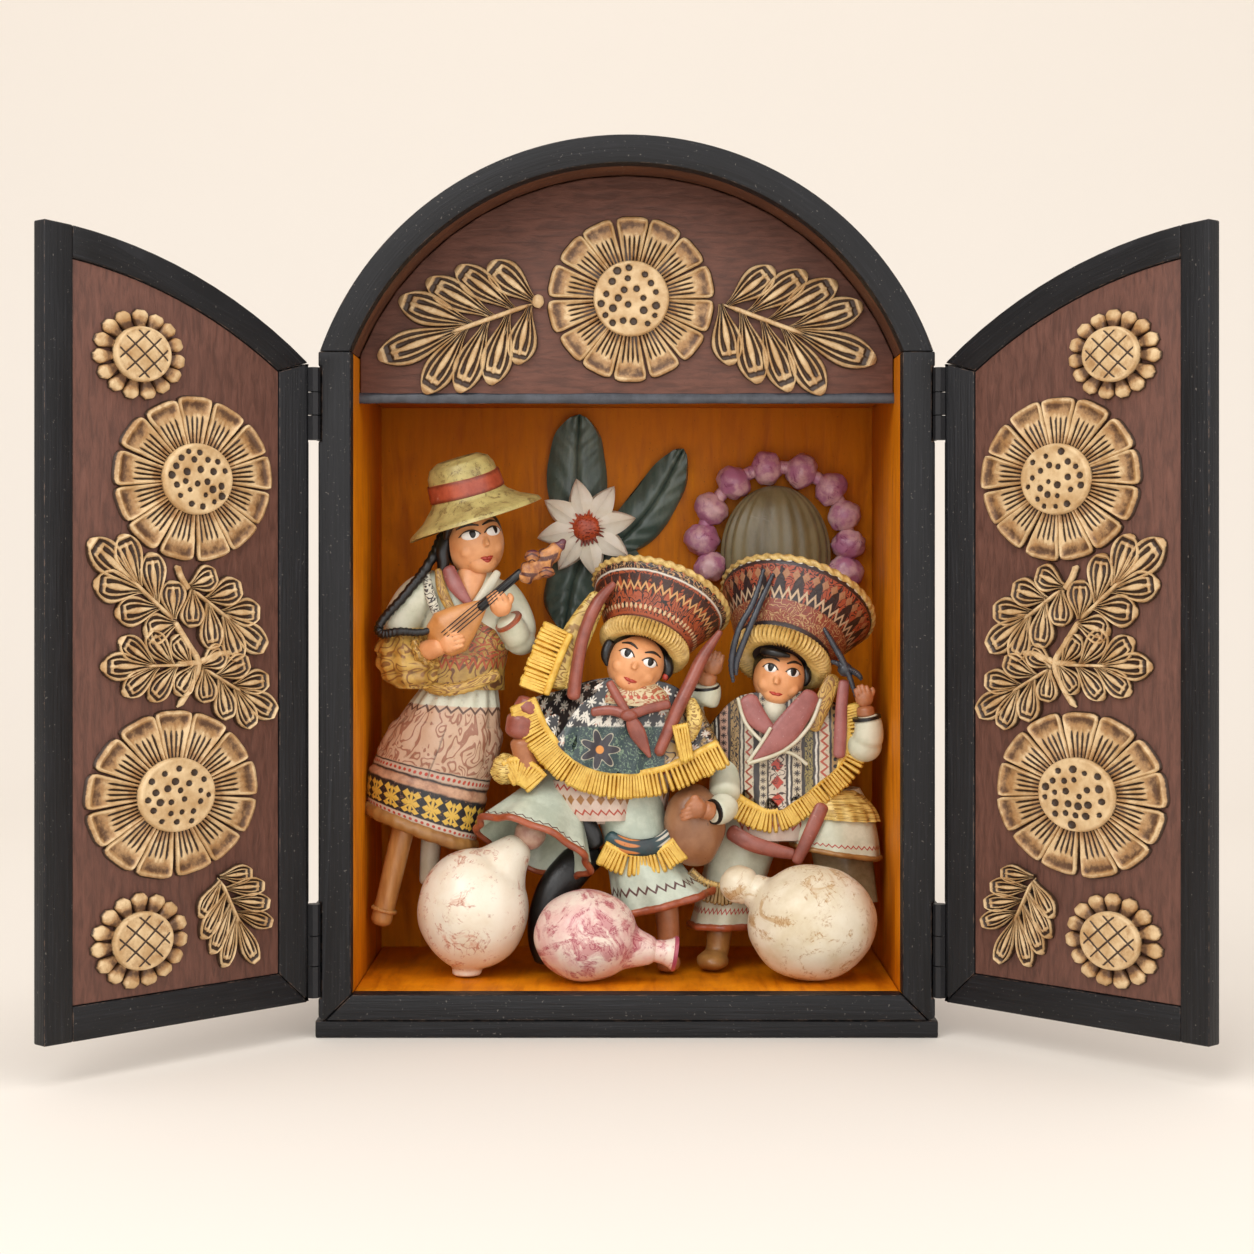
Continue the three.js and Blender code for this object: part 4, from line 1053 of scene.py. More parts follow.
def makeGourds():
    g = gourdShape["white"]
    parts = [ball("a", g["at"], g["r"], 40, 26, 0.025, 3.1),
             tube("b", [at(-61, 42, 50), at(-54.6, 42.6, 60), at(-49, 43.6, 67.4), at(-42.6, 45.6, 73.6)],
                  [20.5, 14.6, 9.4, 5.6], 24),
             tube("c", [at(-66.6, 41.5, 17.9), at(-66.6, 41.5, 20.5), at(-66.4, 41.5, 26)], [6.9, 6.2, 7.5], 24)]
    dress(blendParts("white_gourd_clay", parts, soften=9), whiteGourdClay, "box", "white_clay", ["white_gourd"])
    dress(ball("white_gourd_knob", at(-40.4, 46.5, 76.8), (6.7, 6, 6.8), 24, 16, 0.08, 8), bulbEnd, "box",
          "white_clay")
    g = gourdShape["pink"]
    parts = [ball("a", g["at"], g["r"], 40, 26, 0.025, 5.7),
             tube("b", [at(-9, 28.4, 35), at(2, 28.6, 32), at(13.5, 29, 30.3)], [16, 9.0, 5.0], 24)]
    dress(blendParts("pink_gourd_clay", parts, soften=12), pinkGourdClay, "box", "pink_clay", ["pink_gourd"])
    neck = turned("pink_gourd_mouth", [(4.4, -5), (4.6, -1), (5.0, 2.2), (6.0, 4.8), (7.1, 6.3)], at(13, 29, 30.3),
                  at(20, 29.4, 29.2), 32, 28)
    dress(neck, pinkGourdClay, "box", "pink_clay")
    lip = turned("pink_gourd_lip", [(6.9, 5.9), (7.4, 6.6), (7.1, 7.6), (5.8, 7.1), (3.4, 4), (0, 3)],
                 at(13, 29, 30.3), at(20, 29.4, 29.2), 32, 28)
    dress(lip, crimsonEdge, "box", "pink_clay")
    g = gourdShape["cream"]
    parts = [ball("a", g["at"], g["r"], 40, 26, 0.03, 9.2),
             tube("b", [at(66, 33, 47), at(57, 34, 52.4), at(48.6, 35, 56.4)], [12, 8.2, 6.6], 24)]
    dress(blendParts("cream_gourd_clay", parts, soften=10), creamGourdClay, "box", "white_clay", ["cream_gourd"])
    dress(ball("cream_gourd_knob", at(46.8, 35, 57), (8.3, 7.2, 7.8), 26, 18, 0.06, 2), creamGourdClay, "box",
          "white_clay")
    g = gourdShape["jug"]
    dress(ball("brown_jug_clay", g["at"], g["r"], 40, 28, 0.05, 1.4), jugBrown, "box", "brown_clay", ["brown_jug"])


bulbEnd = clay("bulbEnd", (0.45, 0.22, 0.17), (0.62, 0.42, 0.31), dark=(0.16, 0.06, 0.05), scale=150, rough=0.36)
makeGourds()

leafPaths = (((-20, 196), (-22.5, 230), (-21.2, 257), 13.2), ((-10, 194), (10, 214), (25.5, 241.5), 10.3),
             ((-14, 206), (-24, 182), (-28, 160), 12.3), ((-12, 204), (-2, 188), (3, 172), 9.8))


def makePlant():
    parts = []
    for k, (start, middle, end, half) in enumerate(leafPaths):
        line = [Vector(start), Vector(middle), Vector(end)]

        def form(u, v, line=line, half=half, k=k):
            x = u * 4 - 1 if u < 0.5 else 3 - u * 4
            flat = sampled(line, v)
            ahead = (sampled(line, min(v + 0.03, 1)) - sampled(line, max(v - 0.03, 0))).normalized()
            side = Vector((ahead.y, -ahead.x))
            wide = half * max(0.0, math.sin(math.pi * min(max(v, 0.0), 1) ** 0.95)) ** 0.5
            flat = flat + side * x * wide * (1 + 0.03 * math.sin(v * 17 + k))
            curl = (3.4 * x * x * math.sin(math.pi * v) + 1.5 * bell(x, 0, 0.1)
                    + 0.3 * math.cos(v * 46 - abs(x) * 9) * smooth(0.05, 0.3, abs(x)))
            depth = 121.2 if u >= 0.5 else 116.2 + min(curl, 4.0)
            return at(flat.x, min(depth, 121.2), flat.y)
        parts.append(gridPiece("leaf", 36, 40, form))
    dress(joinPieces("plant_leaves", parts), leafGreen, "box", "leaf_clay", ["plant"])

    petals = []
    centre = Vector((-18, 205.8))
    for k in range(8):
        turn = k * math.pi / 4 + 0.2
        way = Vector((math.cos(turn), math.sin(turn)))
        side = Vector((-way.y, way.x))

        def form(u, v, way=way, side=side):
            x = u * 4 - 1 if u < 0.5 else 3 - u * 4
            wide = 5.4 * math.sin(math.pi * min(v, 1) ** 0.7) ** 0.8 + 0.6 * (1 - v)
            flat = centre + way * (3 + 19.5 * v) + side * x * wide
            lift = 1.6 * x * x + 2.2 * v * v - 0.8 * bell(x, 0, 0.15)
            depth = 112.6 if u >= 0.5 else 108.6 + lift * 0.8 - 1.2 * v
            return at(flat.x, depth - 1.0 * math.sin(v * 3.1), flat.y)
        petals.append(gridPiece("petal", 20, 16, form))
    dress(joinPieces("plant_flower_petals", petals), petalWhite, "box", "white_clay", ["plant_flower"])
    spike = tube("spike", [(0, 0, 0), (0, 0, 0.5), (0, 0, 1)], [0.8, 0.75, 0.2], 6, 3, blunt=True)
    spikes = [ball("heart", at(-18, 108.6, 205.8), (6.3, 2.6, 6.3), 20, 12)]
    for qx, qz in scatter(52, 0.19, 1.0):
        away = math.hypot(qx, qz)
        tall = rng.uniform(0.8, 1.1) * (1.2 - 0.4 * away)

        def move(p, qx=qx, qz=qz, away=away, tall=tall):
            spread = 4.6 + 4.4 * p.z * away
            return at(-18 + qx * spread + p.x, 107.2 + 1.2 * away - 2.2 * p.z * tall + p.y,
                      205.8 + qz * spread + p.x * 0.4)
        spikes.append(copyMesh(spike, move))
    bpy.data.objects.remove(spike)
    dress(joinPieces("plant_flower_stamens", spikes), stamenRed, "box", "white_clay")


makePlant()

garlandSpots = ((37.5, 188.6), (33.9, 200.6), (37.8, 214.2), (47.8, 226.3), (62.6, 232.8), (78.2, 231.4),
                (91.2, 223.4),
                (97.3, 211.4), (99.2, 198.6), (97.6, 186.4))


def makeGarland():
    parts = []
    middle = Vector((66.5, 195))
    for k, (x, z) in enumerate(garlandSpots):
        turn = Matrix.Rotation(-math.atan2(z - middle.y, x - middle.x) + rng.uniform(-0.2, 0.2), 3, "Y")
        size = rng.uniform(0.94, 1.03)
        parts.append(ball("bulb", at(x, 113.4, z), (8.1 * size, 7.4 * size, 7.0 * size), 24, 16, 0.16, k * 3.3,
                          turn))
    line = [at(x, 114, z) for x, z in garlandSpots]
    parts.append(tube("string", line, [3.0] * len(line), 10, 60))
    dress(joinPieces("garland_bulbs", parts), bulbPink, "box", "pink_clay", ["garland"])

    def form(u, v):
        a, b = u * 2 * math.pi, v * math.pi
        ribs = 1 + 0.022 * math.cos(a * 22)
        x, y, z = math.sin(b) * math.sin(a) * ribs, -math.sin(b) * math.cos(a) * ribs, -math.cos(b)
        return Vector((66.5 + 24.2 * x, frontY + 112.6 + 8.3 * y, max(194 + 30.8 * z, 181)))
    dress(gridPiece("dome_clay", 132, 40, form), olive, "box", "olive_clay", ["dome"])


makeGarland()
print("gourds, plant and garland ready")


# Marks shared by hats, ponchos and skirts.
def makeOrnamentGroup():
    group, into, out = newGroup("ornament", [("U", "NodeSocketFloat", 0.0), ("V", "NodeSocketFloat", 0.0),
                                             ("Count", "NodeSocketFloat", 20.0), ("Rows", "NodeSocketFloat", 1.0)],
                                [("Triangles", "NodeSocketFloat"), ("Dots", "NodeSocketFloat"),
                                 ("Line", "NodeSocketFloat"), ("Diamonds", "NodeSocketFloat"),
                                 ("Curls", "NodeSocketFloat"), ("Crosses", "NodeSocketFloat")])
    run = calc(group, "MULTIPLY", into.outputs["U"], into.outputs["Count"])
    rise = calc(group, "MULTIPLY", into.outputs["V"], into.outputs["Rows"])
    fu = calc(group, "SUBTRACT", calc(group, "FRACT", run), 0.5)
    fv = calc(group, "SUBTRACT", calc(group, "FRACT", rise), 0.5)
    au, av = calc(group, "ABSOLUTE", fu), calc(group, "ABSOLUTE", fv)
    tri = calc(group, "SUBTRACT", calc(group, "ADD", fv, 0.5), calc(group, "MULTIPLY", au, 2.0))
    group.links.new(stepUp(group, tri, -0.08, 0.08), out.inputs["Triangles"])
    away = calc(group, "SQRT", calc(group, "ADD", calc(group, "POWER", fu, 2.0), calc(group, "POWER", fv, 2.0)))
    dot = stepUp(group, away, 0.34, 0.22)
    group.links.new(dot, out.inputs["Dots"])
    zig = calc(group, "ABSOLUTE", calc(group, "SUBTRACT", fv, calc(group, "MULTIPLY_ADD", au, 1.2, -0.3)))
    group.links.new(stepUp(group, zig, 0.2, 0.1), out.inputs["Line"])
    group.links.new(stepUp(group, calc(group, "ADD", au, av), 0.46, 0.36), out.inputs["Diamonds"])
    spot = addNode(group, "ShaderNodeCombineXYZ", links={"X": run, "Y": rise})
    field = addNode(group, "ShaderNodeTexNoise", {"Scale": 0.9, "Detail": 1.0, "Roughness": 0.4, "Distortion": 0.5},
                    {"Vector": spot.outputs[0]})
    rings = calc(group, "SINE", calc(group, "MULTIPLY", field.outputs["Fac"], 36.0))
    group.links.new(stepUp(group, rings, 0.35, 0.75), out.inputs["Curls"])
    cross = calc(group, "MINIMUM", calc(group, "ABSOLUTE", calc(group, "SUBTRACT", au, av)),
                 calc(group, "MINIMUM", au, av))
    arms = calc(group, "MULTIPLY", stepUp(group, cross, 0.09, 0.04), stepUp(group, away, 0.44, 0.36))
    group.links.new(arms, out.inputs["Crosses"])
    return group


ornament = makeOrnamentGroup()


def band(tree, value, low, high, soft=0.01):
    return calc(tree, "MULTIPLY", stepUp(tree, value, low - soft, low + soft),
                stepUp(tree, value, high + soft, high - soft))


def inBand(tree, value, low, high):
    return calc(tree, "DIVIDE", calc(tree, "SUBTRACT", value, low), high - low)


# layers: (kind, low, high, color, count, rows) painted over the base along the piece's own V.
def patterned(name, base, second, layers, rough=0.42, scale=90, coat=0.25, axis="V"):
    material, tree, shader = newMaterial(name)
    u, v = grainParts(tree)
    if axis == "X":
        parts = objectParts(tree)
        u, v = parts[2], parts[0]
    age = useGroup(tree, clayGroup, {"Scale": scale, "Stain Scale": 60.0})
    wobble = objectNoise(tree, 300, 3, 0.5)
    shift = calc(tree, "MULTIPLY", calc(tree, "SUBTRACT", wobble, 0.5), 0.012 if axis == "V" else 0.0012)
    v = calc(tree, "ADD", v, shift)
    fine = objectNoise(tree, 800, 4, 0.6)
    color = mixColor(tree, stepUp(tree, age.outputs["Mottle"], 0.35, 0.68), base, second)
    height = fine
    for kind, low, high, tint, count, rows in layers:
        inside = band(tree, v, low, high, 0.006 if axis == "V" else 0.00025)
        if kind == "fill":
            mask = inside
        else:
            marks = useGroup(tree, ornament, {"Count": count, "Rows": rows},
                             {"U": u, "V": inBand(tree, v, low, high)})
            mask = calc(tree, "MULTIPLY", inside, marks.outputs[kind])
        worn = calc(tree, "MULTIPLY", mask, stepUp(tree, fine, 0.2, 0.42))
        color = mixColor(tree, worn, color, tint)
        height = calc(tree, "MULTIPLY_ADD", mask, 0.6, height)
    # Painted shade with a dark wash: hollows and folds are darkened.
    color = overlay(tree, color, tuple(part * 0.16 for part in second), age.outputs["Crevice"], 0.55)
    surface(tree, shader, color, fine, 0.25, rough - 0.12, (coat, 0.25))
    bump(tree, shader, height, 0.0002, 0.7)
    return material


paintDark = (0.014, 0.013, 0.016)
paintRed = (0.48, 0.05, 0.025)
paintWhite = (0.72, 0.68, 0.58)
centreHatPaint = patterned("centreHatPaint", (0.15, 0.04, 0.02), (0.09, 0.025, 0.015), [
    ("fill", 0.2, 0.5, (0.40, 0.085, 0.03), 1, 1), ("Curls", 0.22, 0.5, (0.02, 0.012, 0.01), 60, 4),
    ("Triangles", 0.33, 0.48, (0.05, 0.02, 0.016), 34, 1),
    ("Dots", 0.23, 0.3, (0.72, 0.5, 0.28), 60, 1), ("Line", 0.36, 0.44, (0.66, 0.36, 0.14), 46, 1),
    ("fill", 0.5, 0.515, paintWhite, 1, 1), ("fill", 0.515, 0.96, (0.02, 0.017, 0.02), 1, 1),
    ("Triangles", 0.53, 0.68, (0.44, 0.09, 0.03), 34, 1), ("Curls", 0.515, 0.72, (0.5, 0.3, 0.14), 60, 4),
    ("Triangles", 0.69, 0.82, (0.42, 0.12, 0.04), 30, 1), ("Line", 0.74, 0.82, (0.6, 0.42, 0.2), 44, 1),
    ("Curls", 0.83, 0.95, (0.56, 0.36, 0.13), 60, 3)])
rightHatPaint = patterned("rightHatPaint", (0.022, 0.018, 0.022), (0.05, 0.022, 0.018), [
    ("fill", 0.2, 0.34, (0.26, 0.06, 0.035), 1, 1), ("Curls", 0.2, 0.34, (0.5, 0.3, 0.14), 60, 3),
    ("Triangles", 0.33, 0.54, (0.40, 0.085, 0.04), 22, 1), ("Triangles", 0.62, 0.88, (0.36, 0.07, 0.035), 26, 1),
    ("Curls", 0.36, 0.54, (0.03, 0.016, 0.016), 60, 4), ("Diamonds", 0.44, 0.53, (0.42, 0.2, 0.1), 44, 1),
    ("Line", 0.33, 0.42, (0.6, 0.44, 0.28), 44, 1), ("Line", 0.8, 0.9, (0.5, 0.34, 0.2), 52, 1),
    ("Curls", 0.6, 0.94, (0.5, 0.32, 0.2), 64, 7),
    ("Dots", 0.56, 0.61, paintWhite, 44, 1), ("fill", 0.9, 0.93, (0.02, 0.015, 0.018), 1, 1)])
goldFringe = clay("goldFringe", (0.78, 0.53, 0.17), (0.52, 0.31, 0.07), dark=(0.09, 0.04, 0.012), scale=240,
                  rough=0.4)
ropeGold = clay("ropeGold", (0.78, 0.56, 0.2), (0.48, 0.29, 0.08), dark=(0.08, 0.04, 0.012), scale=300, rough=0.42)


# Parts shared by the three figures.
def makeStrand():
    return tube("strand", [(0, 0, 0), (0, 0, 0.4), (0, 0, 0.85), (0, 0, 1)], [0.5, 0.6, 0.68, 0.42], 6, 4,
                blunt=True)


def sideOf(path, share):
    here = sampled(path, share)
    ahead = (sampled(path, min(share + 0.02, 1)) - sampled(path, max(share - 0.02, 0))).normalized()
    return here, Vector((ahead.y, -ahead.x))


def fringePiece(name, path, width, depth, thick, material, spacing=1.25):
    path = [Vector(p) for p in path]
    length = sum((sampled(path, (i + 1) / 60) - sampled(path, i / 60)).length for i in range(60))
    count = int(length / spacing)
    strand = makeStrand()
    parts = []
    for k in range(count):
        share = (k + 0.5) / count
        here, way = sideOf(path, share)
        along = Vector((-way.y, way.x))
        tall = width * rng.uniform(0.93, 1.0)
        skew = rng.uniform(-0.35, 0.35)
        out = rng.uniform(-0.2, 0.2)

        def move(p, here=here, way=way, along=along, tall=tall, skew=skew, out=out):
            flat = (here - way * 1.2 + way * (tall + 1.2) * p.z
                    + along * (p.x * spacing * (1.0 + 0.3 * p.z) + skew * p.z))
            return at(flat.x, depth + thick * 0.5 + out + p.y * thick * 0.8, flat.y)
        parts.append(copyMesh(strand, move))
    bpy.data.objects.remove(strand)
    edge = [at(p.x, depth + thick * 0.5, p.y) for p in (sampled(path, i / 16) for i in range(17))]
    parts.append(tube("edge", edge, [thick * 0.42] * 5, 8, 48))
    return dress(joinPieces(name, parts), material)


# A cloth front and back between an upper and a lower edge, given as (x, z) paths.
def cloakPiece(name, top, bottom, depths, thick, material, folds=0.0, count=7, round=9.0):
    top, bottom = [Vector(p) for p in top], [Vector(p) for p in bottom]

    def place(u, v):
        front = u < 0.5
        s = u * 2 if front else 2 - u * 2
        flat = sampled(top, s) * (1 - v) + sampled(bottom, s) * v
        depth = lerp(depths[0], depths[1], v ** 0.8) + round * (abs(s * 2 - 1) ** 2.4)
        depth += folds * math.cos(s * 2 * math.pi * count) * smooth(0.1, 0.9, v)
        return at(flat.x, depth if front else depth + thick, flat.y)
    return dress(gridPiece(name, 120, 34, place, angle=70), material)


def facePieces(prefix, centre, radii, roll, yaw, face, skinMaterial):
    origin = Vector(centre)
    turn = Matrix.Rotation(math.radians(roll), 3, "Y") @ Matrix.Rotation(math.radians(yaw), 3, "Z")

    def spot(x, z, lift=0.0):
        inside = max(0.02, 1 - (x / radii[0]) ** 2 - (z / radii[2]) ** 2)
        return origin + turn @ Vector((x, -radii[1] * math.sqrt(inside) - lift, z))
    parts = [ball("skull", centre, radii, 36, 26, turn=turn)]
    parts.append(ball("chin", spot(0, -radii[2] * 0.62, -3.2), (radii[0] * 0.52, 4.4, radii[2] * 0.32), 20, 14,
                      turn=turn))
    parts.append(tube("neck", [origin + turn @ Vector((0, 1.5, -radii[2] * 0.6)),
                               origin + turn @ Vector((0, 2.5, -radii[2] * 1.35))],
                      [5.4, 5.8], 16, 6))
    nx, nz = face["nose"]
    parts.append(tube("nose", [spot(nx, nz + 3.6, -0.6), spot(nx, nz + 1.2, 0.7), spot(nx, nz, 1.0)],
                      [0.9, 1.25, 1.55], 10, 8))
    for sx in (-1, 1):
        parts.append(ball("cheek", spot(sx * radii[0] * 0.44, nz - 0.8, -2.9), (4.0, 2.8, 3.4), 14, 10, turn=turn))
    dress(blendParts(prefix + "_head", parts, 0.55, 3), skinMaterial)
    whites, irises, brows = [], [], []
    for ex, ez in face["eyes"]:
        facing = turn @ Matrix.Rotation(math.asin(ex / radii[0]), 3, "Z")
        whites.append(ball("eye", spot(ex, ez, -0.1), (face["eye"][0], 0.9, face["eye"][1]), 22, 14, turn=facing))
        irises.append(ball("iris", spot(ex + face.get("gaze", 0), ez + 0.25, 0.42), (1.75, 0.6, 1.7), 18, 12,
                           turn=facing))
        w = face["eye"][0] * 1.15
        top = face["eye"][1]
        brows.append(tube("brow", [spot(ex - w, ez + 3.3, 0.1), spot(ex, ez + 4.6, 0.2),
                                   spot(ex + w, ez + 3.6, 0.1)],
                          [0.3, 0.62, 0.3], 8, 12))
        brows.append(tube("lid", [spot(ex - w, ez - 0.2, 0.2), spot(ex - w * 0.5, ez + top * 0.72, 0.5),
                                  spot(ex, ez + top * 0.98, 0.55),
                                  spot(ex + w * 0.5, ez + top * 0.72, 0.5), spot(ex + w, ez - 0.2, 0.2)],
                          [0.2, 0.42, 0.5, 0.42, 0.2], 8, 16))
    dress(joinPieces(prefix + "_eyes", whites), white)
    dress(joinPieces(prefix + "_irises", irises), black)
    dress(joinPieces(prefix + "_brows", brows), darkLine)
    mx, mz = face["mouth"]
    parts = [tube("lip", [spot(mx - 2.9, mz + 0.5, 0.1), spot(mx - 1.1, mz + 0.15, 0.5), spot(mx, mz, 0.45),
                          spot(mx + 1.1, mz + 0.15, 0.5), spot(mx + 2.9, mz + 0.5, 0.1)],
                  [0.2, 0.75, 0.62, 0.75, 0.2], 10, 20),
             tube("lip", [spot(mx - 2.2, mz - 0.3, 0.1), spot(mx, mz - 1.15, 0.5), spot(mx + 2.2, mz - 0.3, 0.1)],
                  [0.2, 0.85, 0.2], 10, 16)]
    dress(joinPieces(prefix + "_lips", parts), lips)
    return origin, turn


def ropeRing(name, centre, axis, radius, thick, material, strands=34):
    axis = Vector(axis).normalized()
    side = Vector((0, -1, 0)).cross(axis).normalized()
    other = axis.cross(side)

    def place(u, v):
        turn = v * 2 * math.pi
        out = side * math.cos(turn) + other * math.sin(turn)
        swell = 1 + 0.24 * math.cos(2 * (u * 2 * math.pi) + turn * strands)
        a = u * 2 * math.pi
        return Vector(centre) + out * (radius + math.cos(a) * thick * swell) + axis * math.sin(a) * thick * swell
    return dress(gridPiece(name, 16, strands * 8, place, close=False), material)


def flaredHat(prefix, start, end, scale, bodyPaint, tall=1.0):
    start, end = Vector(start), Vector(end)
    axis = (end - start).normalized()
    outline = ((15.4, 2.5), (16.2, 4), (17.4, 6), (20.6, 9.5), (23.2, 14), (26.4, 18.5), (29.2, 22.5), (29.6, 25),
               (27, 25.6), (17, 22.6),
               (6, 21.6), (0, 21.4))
    crown = turned(prefix + "_hat", [(r * scale, h * tall) for r, h in outline], start, end, 96, 66)
    dress(crown, bodyPaint)
    ropeRing(prefix + "_hat_rope", start + axis * 24.6 * tall, axis, 29.2 * scale, 1.45, ropeGold, 40)

    def wave(u, v, r, h):
        strands = abs(math.sin(u * math.pi * 66))
        return r - (1 - strands) * 1.7 * (0.1 < v < 0.9), h
    outline = ((11, 4.5), (13.4 * scale, 1.0), (16.4 * scale, -0.4), (18.8 * scale, 0.6), (19.8 * scale, 3.4),
               (19 * scale, 6.2), (17.2 * scale, 7.2))
    dress(turned(prefix + "_hat_fringe", outline, start, end, 264, 18, wave), goldFringe)


def strandHair(prefix, origin, turn, radii, drops):
    parts = [ball("cap", origin + turn @ Vector((0, 2.6, 1.6)), (radii[0] * 1.06, radii[1] * 0.98, radii[2] * 1.02),
                  32, 22, 0.05, 4, turn)]
    for points, radius in drops:
        parts.append(tube("lock", points, [radius, radius * 1.1, radius * 0.9, radius * 0.4], 12, 18))
    return dress(joinPieces(prefix + "_hair", parts), hair)


skirtMint = patterned("skirtMint", (0.60, 0.66, 0.54), (0.44, 0.50, 0.40), [
    ("Line", 0.7, 0.8, (0.10, 0.035, 0.03), 26, 1)])
bellMint = patterned("bellMint", (0.60, 0.66, 0.54), (0.44, 0.50, 0.40),
                     [("Line", 0.395, 0.445, (0.10, 0.035, 0.03), 40, 1)])
scrollTrim = patterned("scrollTrim", (0.70, 0.68, 0.54), (0.54, 0.50, 0.38),
                       [("Curls", 0.04, 0.96, (0.03, 0.02, 0.02), 3, 12)])
tunicPaint = patterned("tunicPaint", (0.66, 0.52, 0.42), (0.56, 0.42, 0.34), [
    ("Line", 0.1, 0.3, (0.45, 0.05, 0.03), 26, 1), ("Diamonds", 0.34, 0.56, (0.32, 0.14, 0.03), 26, 1),
    ("Line", 0.6, 0.8, (0.42, 0.06, 0.03), 30, 1)])
panelSkirt = patterned("panelSkirt", (0.62, 0.36, 0.22), (0.34, 0.16, 0.09), [
    ("fill", 0.2, 0.56, (0.60, 0.40, 0.27), 1, 1), ("Curls", 0.24, 0.55, (0.34, 0.15, 0.09), 30, 3),
    ("fill", 0.0, 0.2, (0.64, 0.64, 0.50), 1, 1), ("Line", 0.19, 0.25, (0.12, 0.06, 0.04), 24, 1),
    ("fill", 0.555, 0.567, paintDark, 1, 1), ("fill", 0.567, 0.61, (0.55, 0.42, 0.32), 1, 1),
    ("Dots", 0.57, 0.607, paintRed, 64, 1), ("fill", 0.61, 0.622, paintDark, 1, 1),
    ("fill", 0.66, 0.84, paintDark, 1, 1), ("Diamonds", 0.67, 0.83, (0.72, 0.46, 0.07), 34, 3),
    ("Crosses", 0.67, 0.83, (0.72, 0.46, 0.07), 17, 1),
    ("fill", 0.84, 0.89, (0.6, 0.5, 0.4), 1, 1), ("Dots", 0.845, 0.885, paintRed, 60, 1)], scale=160)
stripePoncho = patterned("stripePoncho", (0.030, 0.024, 0.022), (0.05, 0.035, 0.03), [
    ("fill", 0.0335, 0.0368, (0.46, 0.34, 0.16), 1, 1), ("Curls", 0.0335, 0.0368, (0.05, 0.03, 0.02), 300, 2),
    ("fill", 0.0378, 0.0385, paintWhite, 1, 1), ("fill", 0.0396, 0.0428, (0.5, 0.30, 0.22), 1, 1),
    ("Crosses", 0.0396, 0.0428, (0.03, 0.02, 0.02), 320, 1), ("fill", 0.044, 0.0475, (0.34, 0.22, 0.09), 1, 1),
    ("Curls", 0.044, 0.0475, (0.03, 0.02, 0.02), 300, 2),
    ("fill", 0.0482, 0.0490, (0.58, 0.52, 0.4), 1, 1), ("fill", 0.0498, 0.0535, (0.62, 0.54, 0.40), 1, 1),
    ("Line", 0.0498, 0.0535, (0.35, 0.06, 0.03), 240, 1), ("fill", 0.0560, 0.0592, (0.56, 0.48, 0.34), 1, 1),
    ("Crosses", 0.0560, 0.0592, (0.03, 0.02, 0.02), 320, 1), ("fill", 0.0600, 0.0672, (0.62, 0.53, 0.42), 1, 1),
    ("Diamonds", 0.0602, 0.0670, paintRed, 138, 1), ("Curls", 0.0600, 0.0672, (0.05, 0.025, 0.02), 300, 2),
    ("fill", 0.0682, 0.0690, paintWhite, 1, 1), ("fill", 0.0700, 0.0737, (0.58, 0.50, 0.36), 1, 1),
    ("Crosses", 0.0700, 0.0737, (0.03, 0.02, 0.02), 300, 1), ("fill", 0.0752, 0.0785, (0.30, 0.24, 0.08), 1, 1),
    ("Curls", 0.0752, 0.0785, (0.03, 0.02, 0.02), 300, 2), ("fill", 0.0796, 0.0804, paintWhite, 1, 1),
    ("fill", 0.0812, 0.0855, (0.60, 0.50, 0.36), 1, 1), ("Line", 0.0812, 0.0855, (0.42, 0.08, 0.04), 230, 1),
    ("fill", 0.0866, 0.0895, (0.36, 0.22, 0.08), 1, 1), ("Dots", 0.0866, 0.0895, paintDark, 330, 1),
    ("fill", 0.0906, 0.0914, paintWhite, 1, 1), ("Line", 0.0925, 0.0965, (0.5, 0.35, 0.14), 230, 1)], axis="X")
bodicePaint = patterned("bodicePaint", (0.50, 0.32, 0.08), (0.30, 0.17, 0.04), [
    ("Curls", 0.02, 0.98, (0.16, 0.07, 0.03), 18, 5), ("Curls", 0.1, 0.6, (0.42, 0.09, 0.04), 22, 5),
    ("Line", 0.55, 0.7, (0.4, 0.08, 0.03), 30, 1)])
lacePaint = patterned("lacePaint", (0.66, 0.42, 0.10), (0.44, 0.25, 0.05), [
    ("Curls", 0.05, 0.95, (0.26, 0.12, 0.03), 9, 5)], scale=160)
mauveBand = clay("mauveBand", (0.37, 0.12, 0.105), (0.28, 0.08, 0.07), dark=(0.6, 0.42, 0.38), scale=160, rough=0.4)


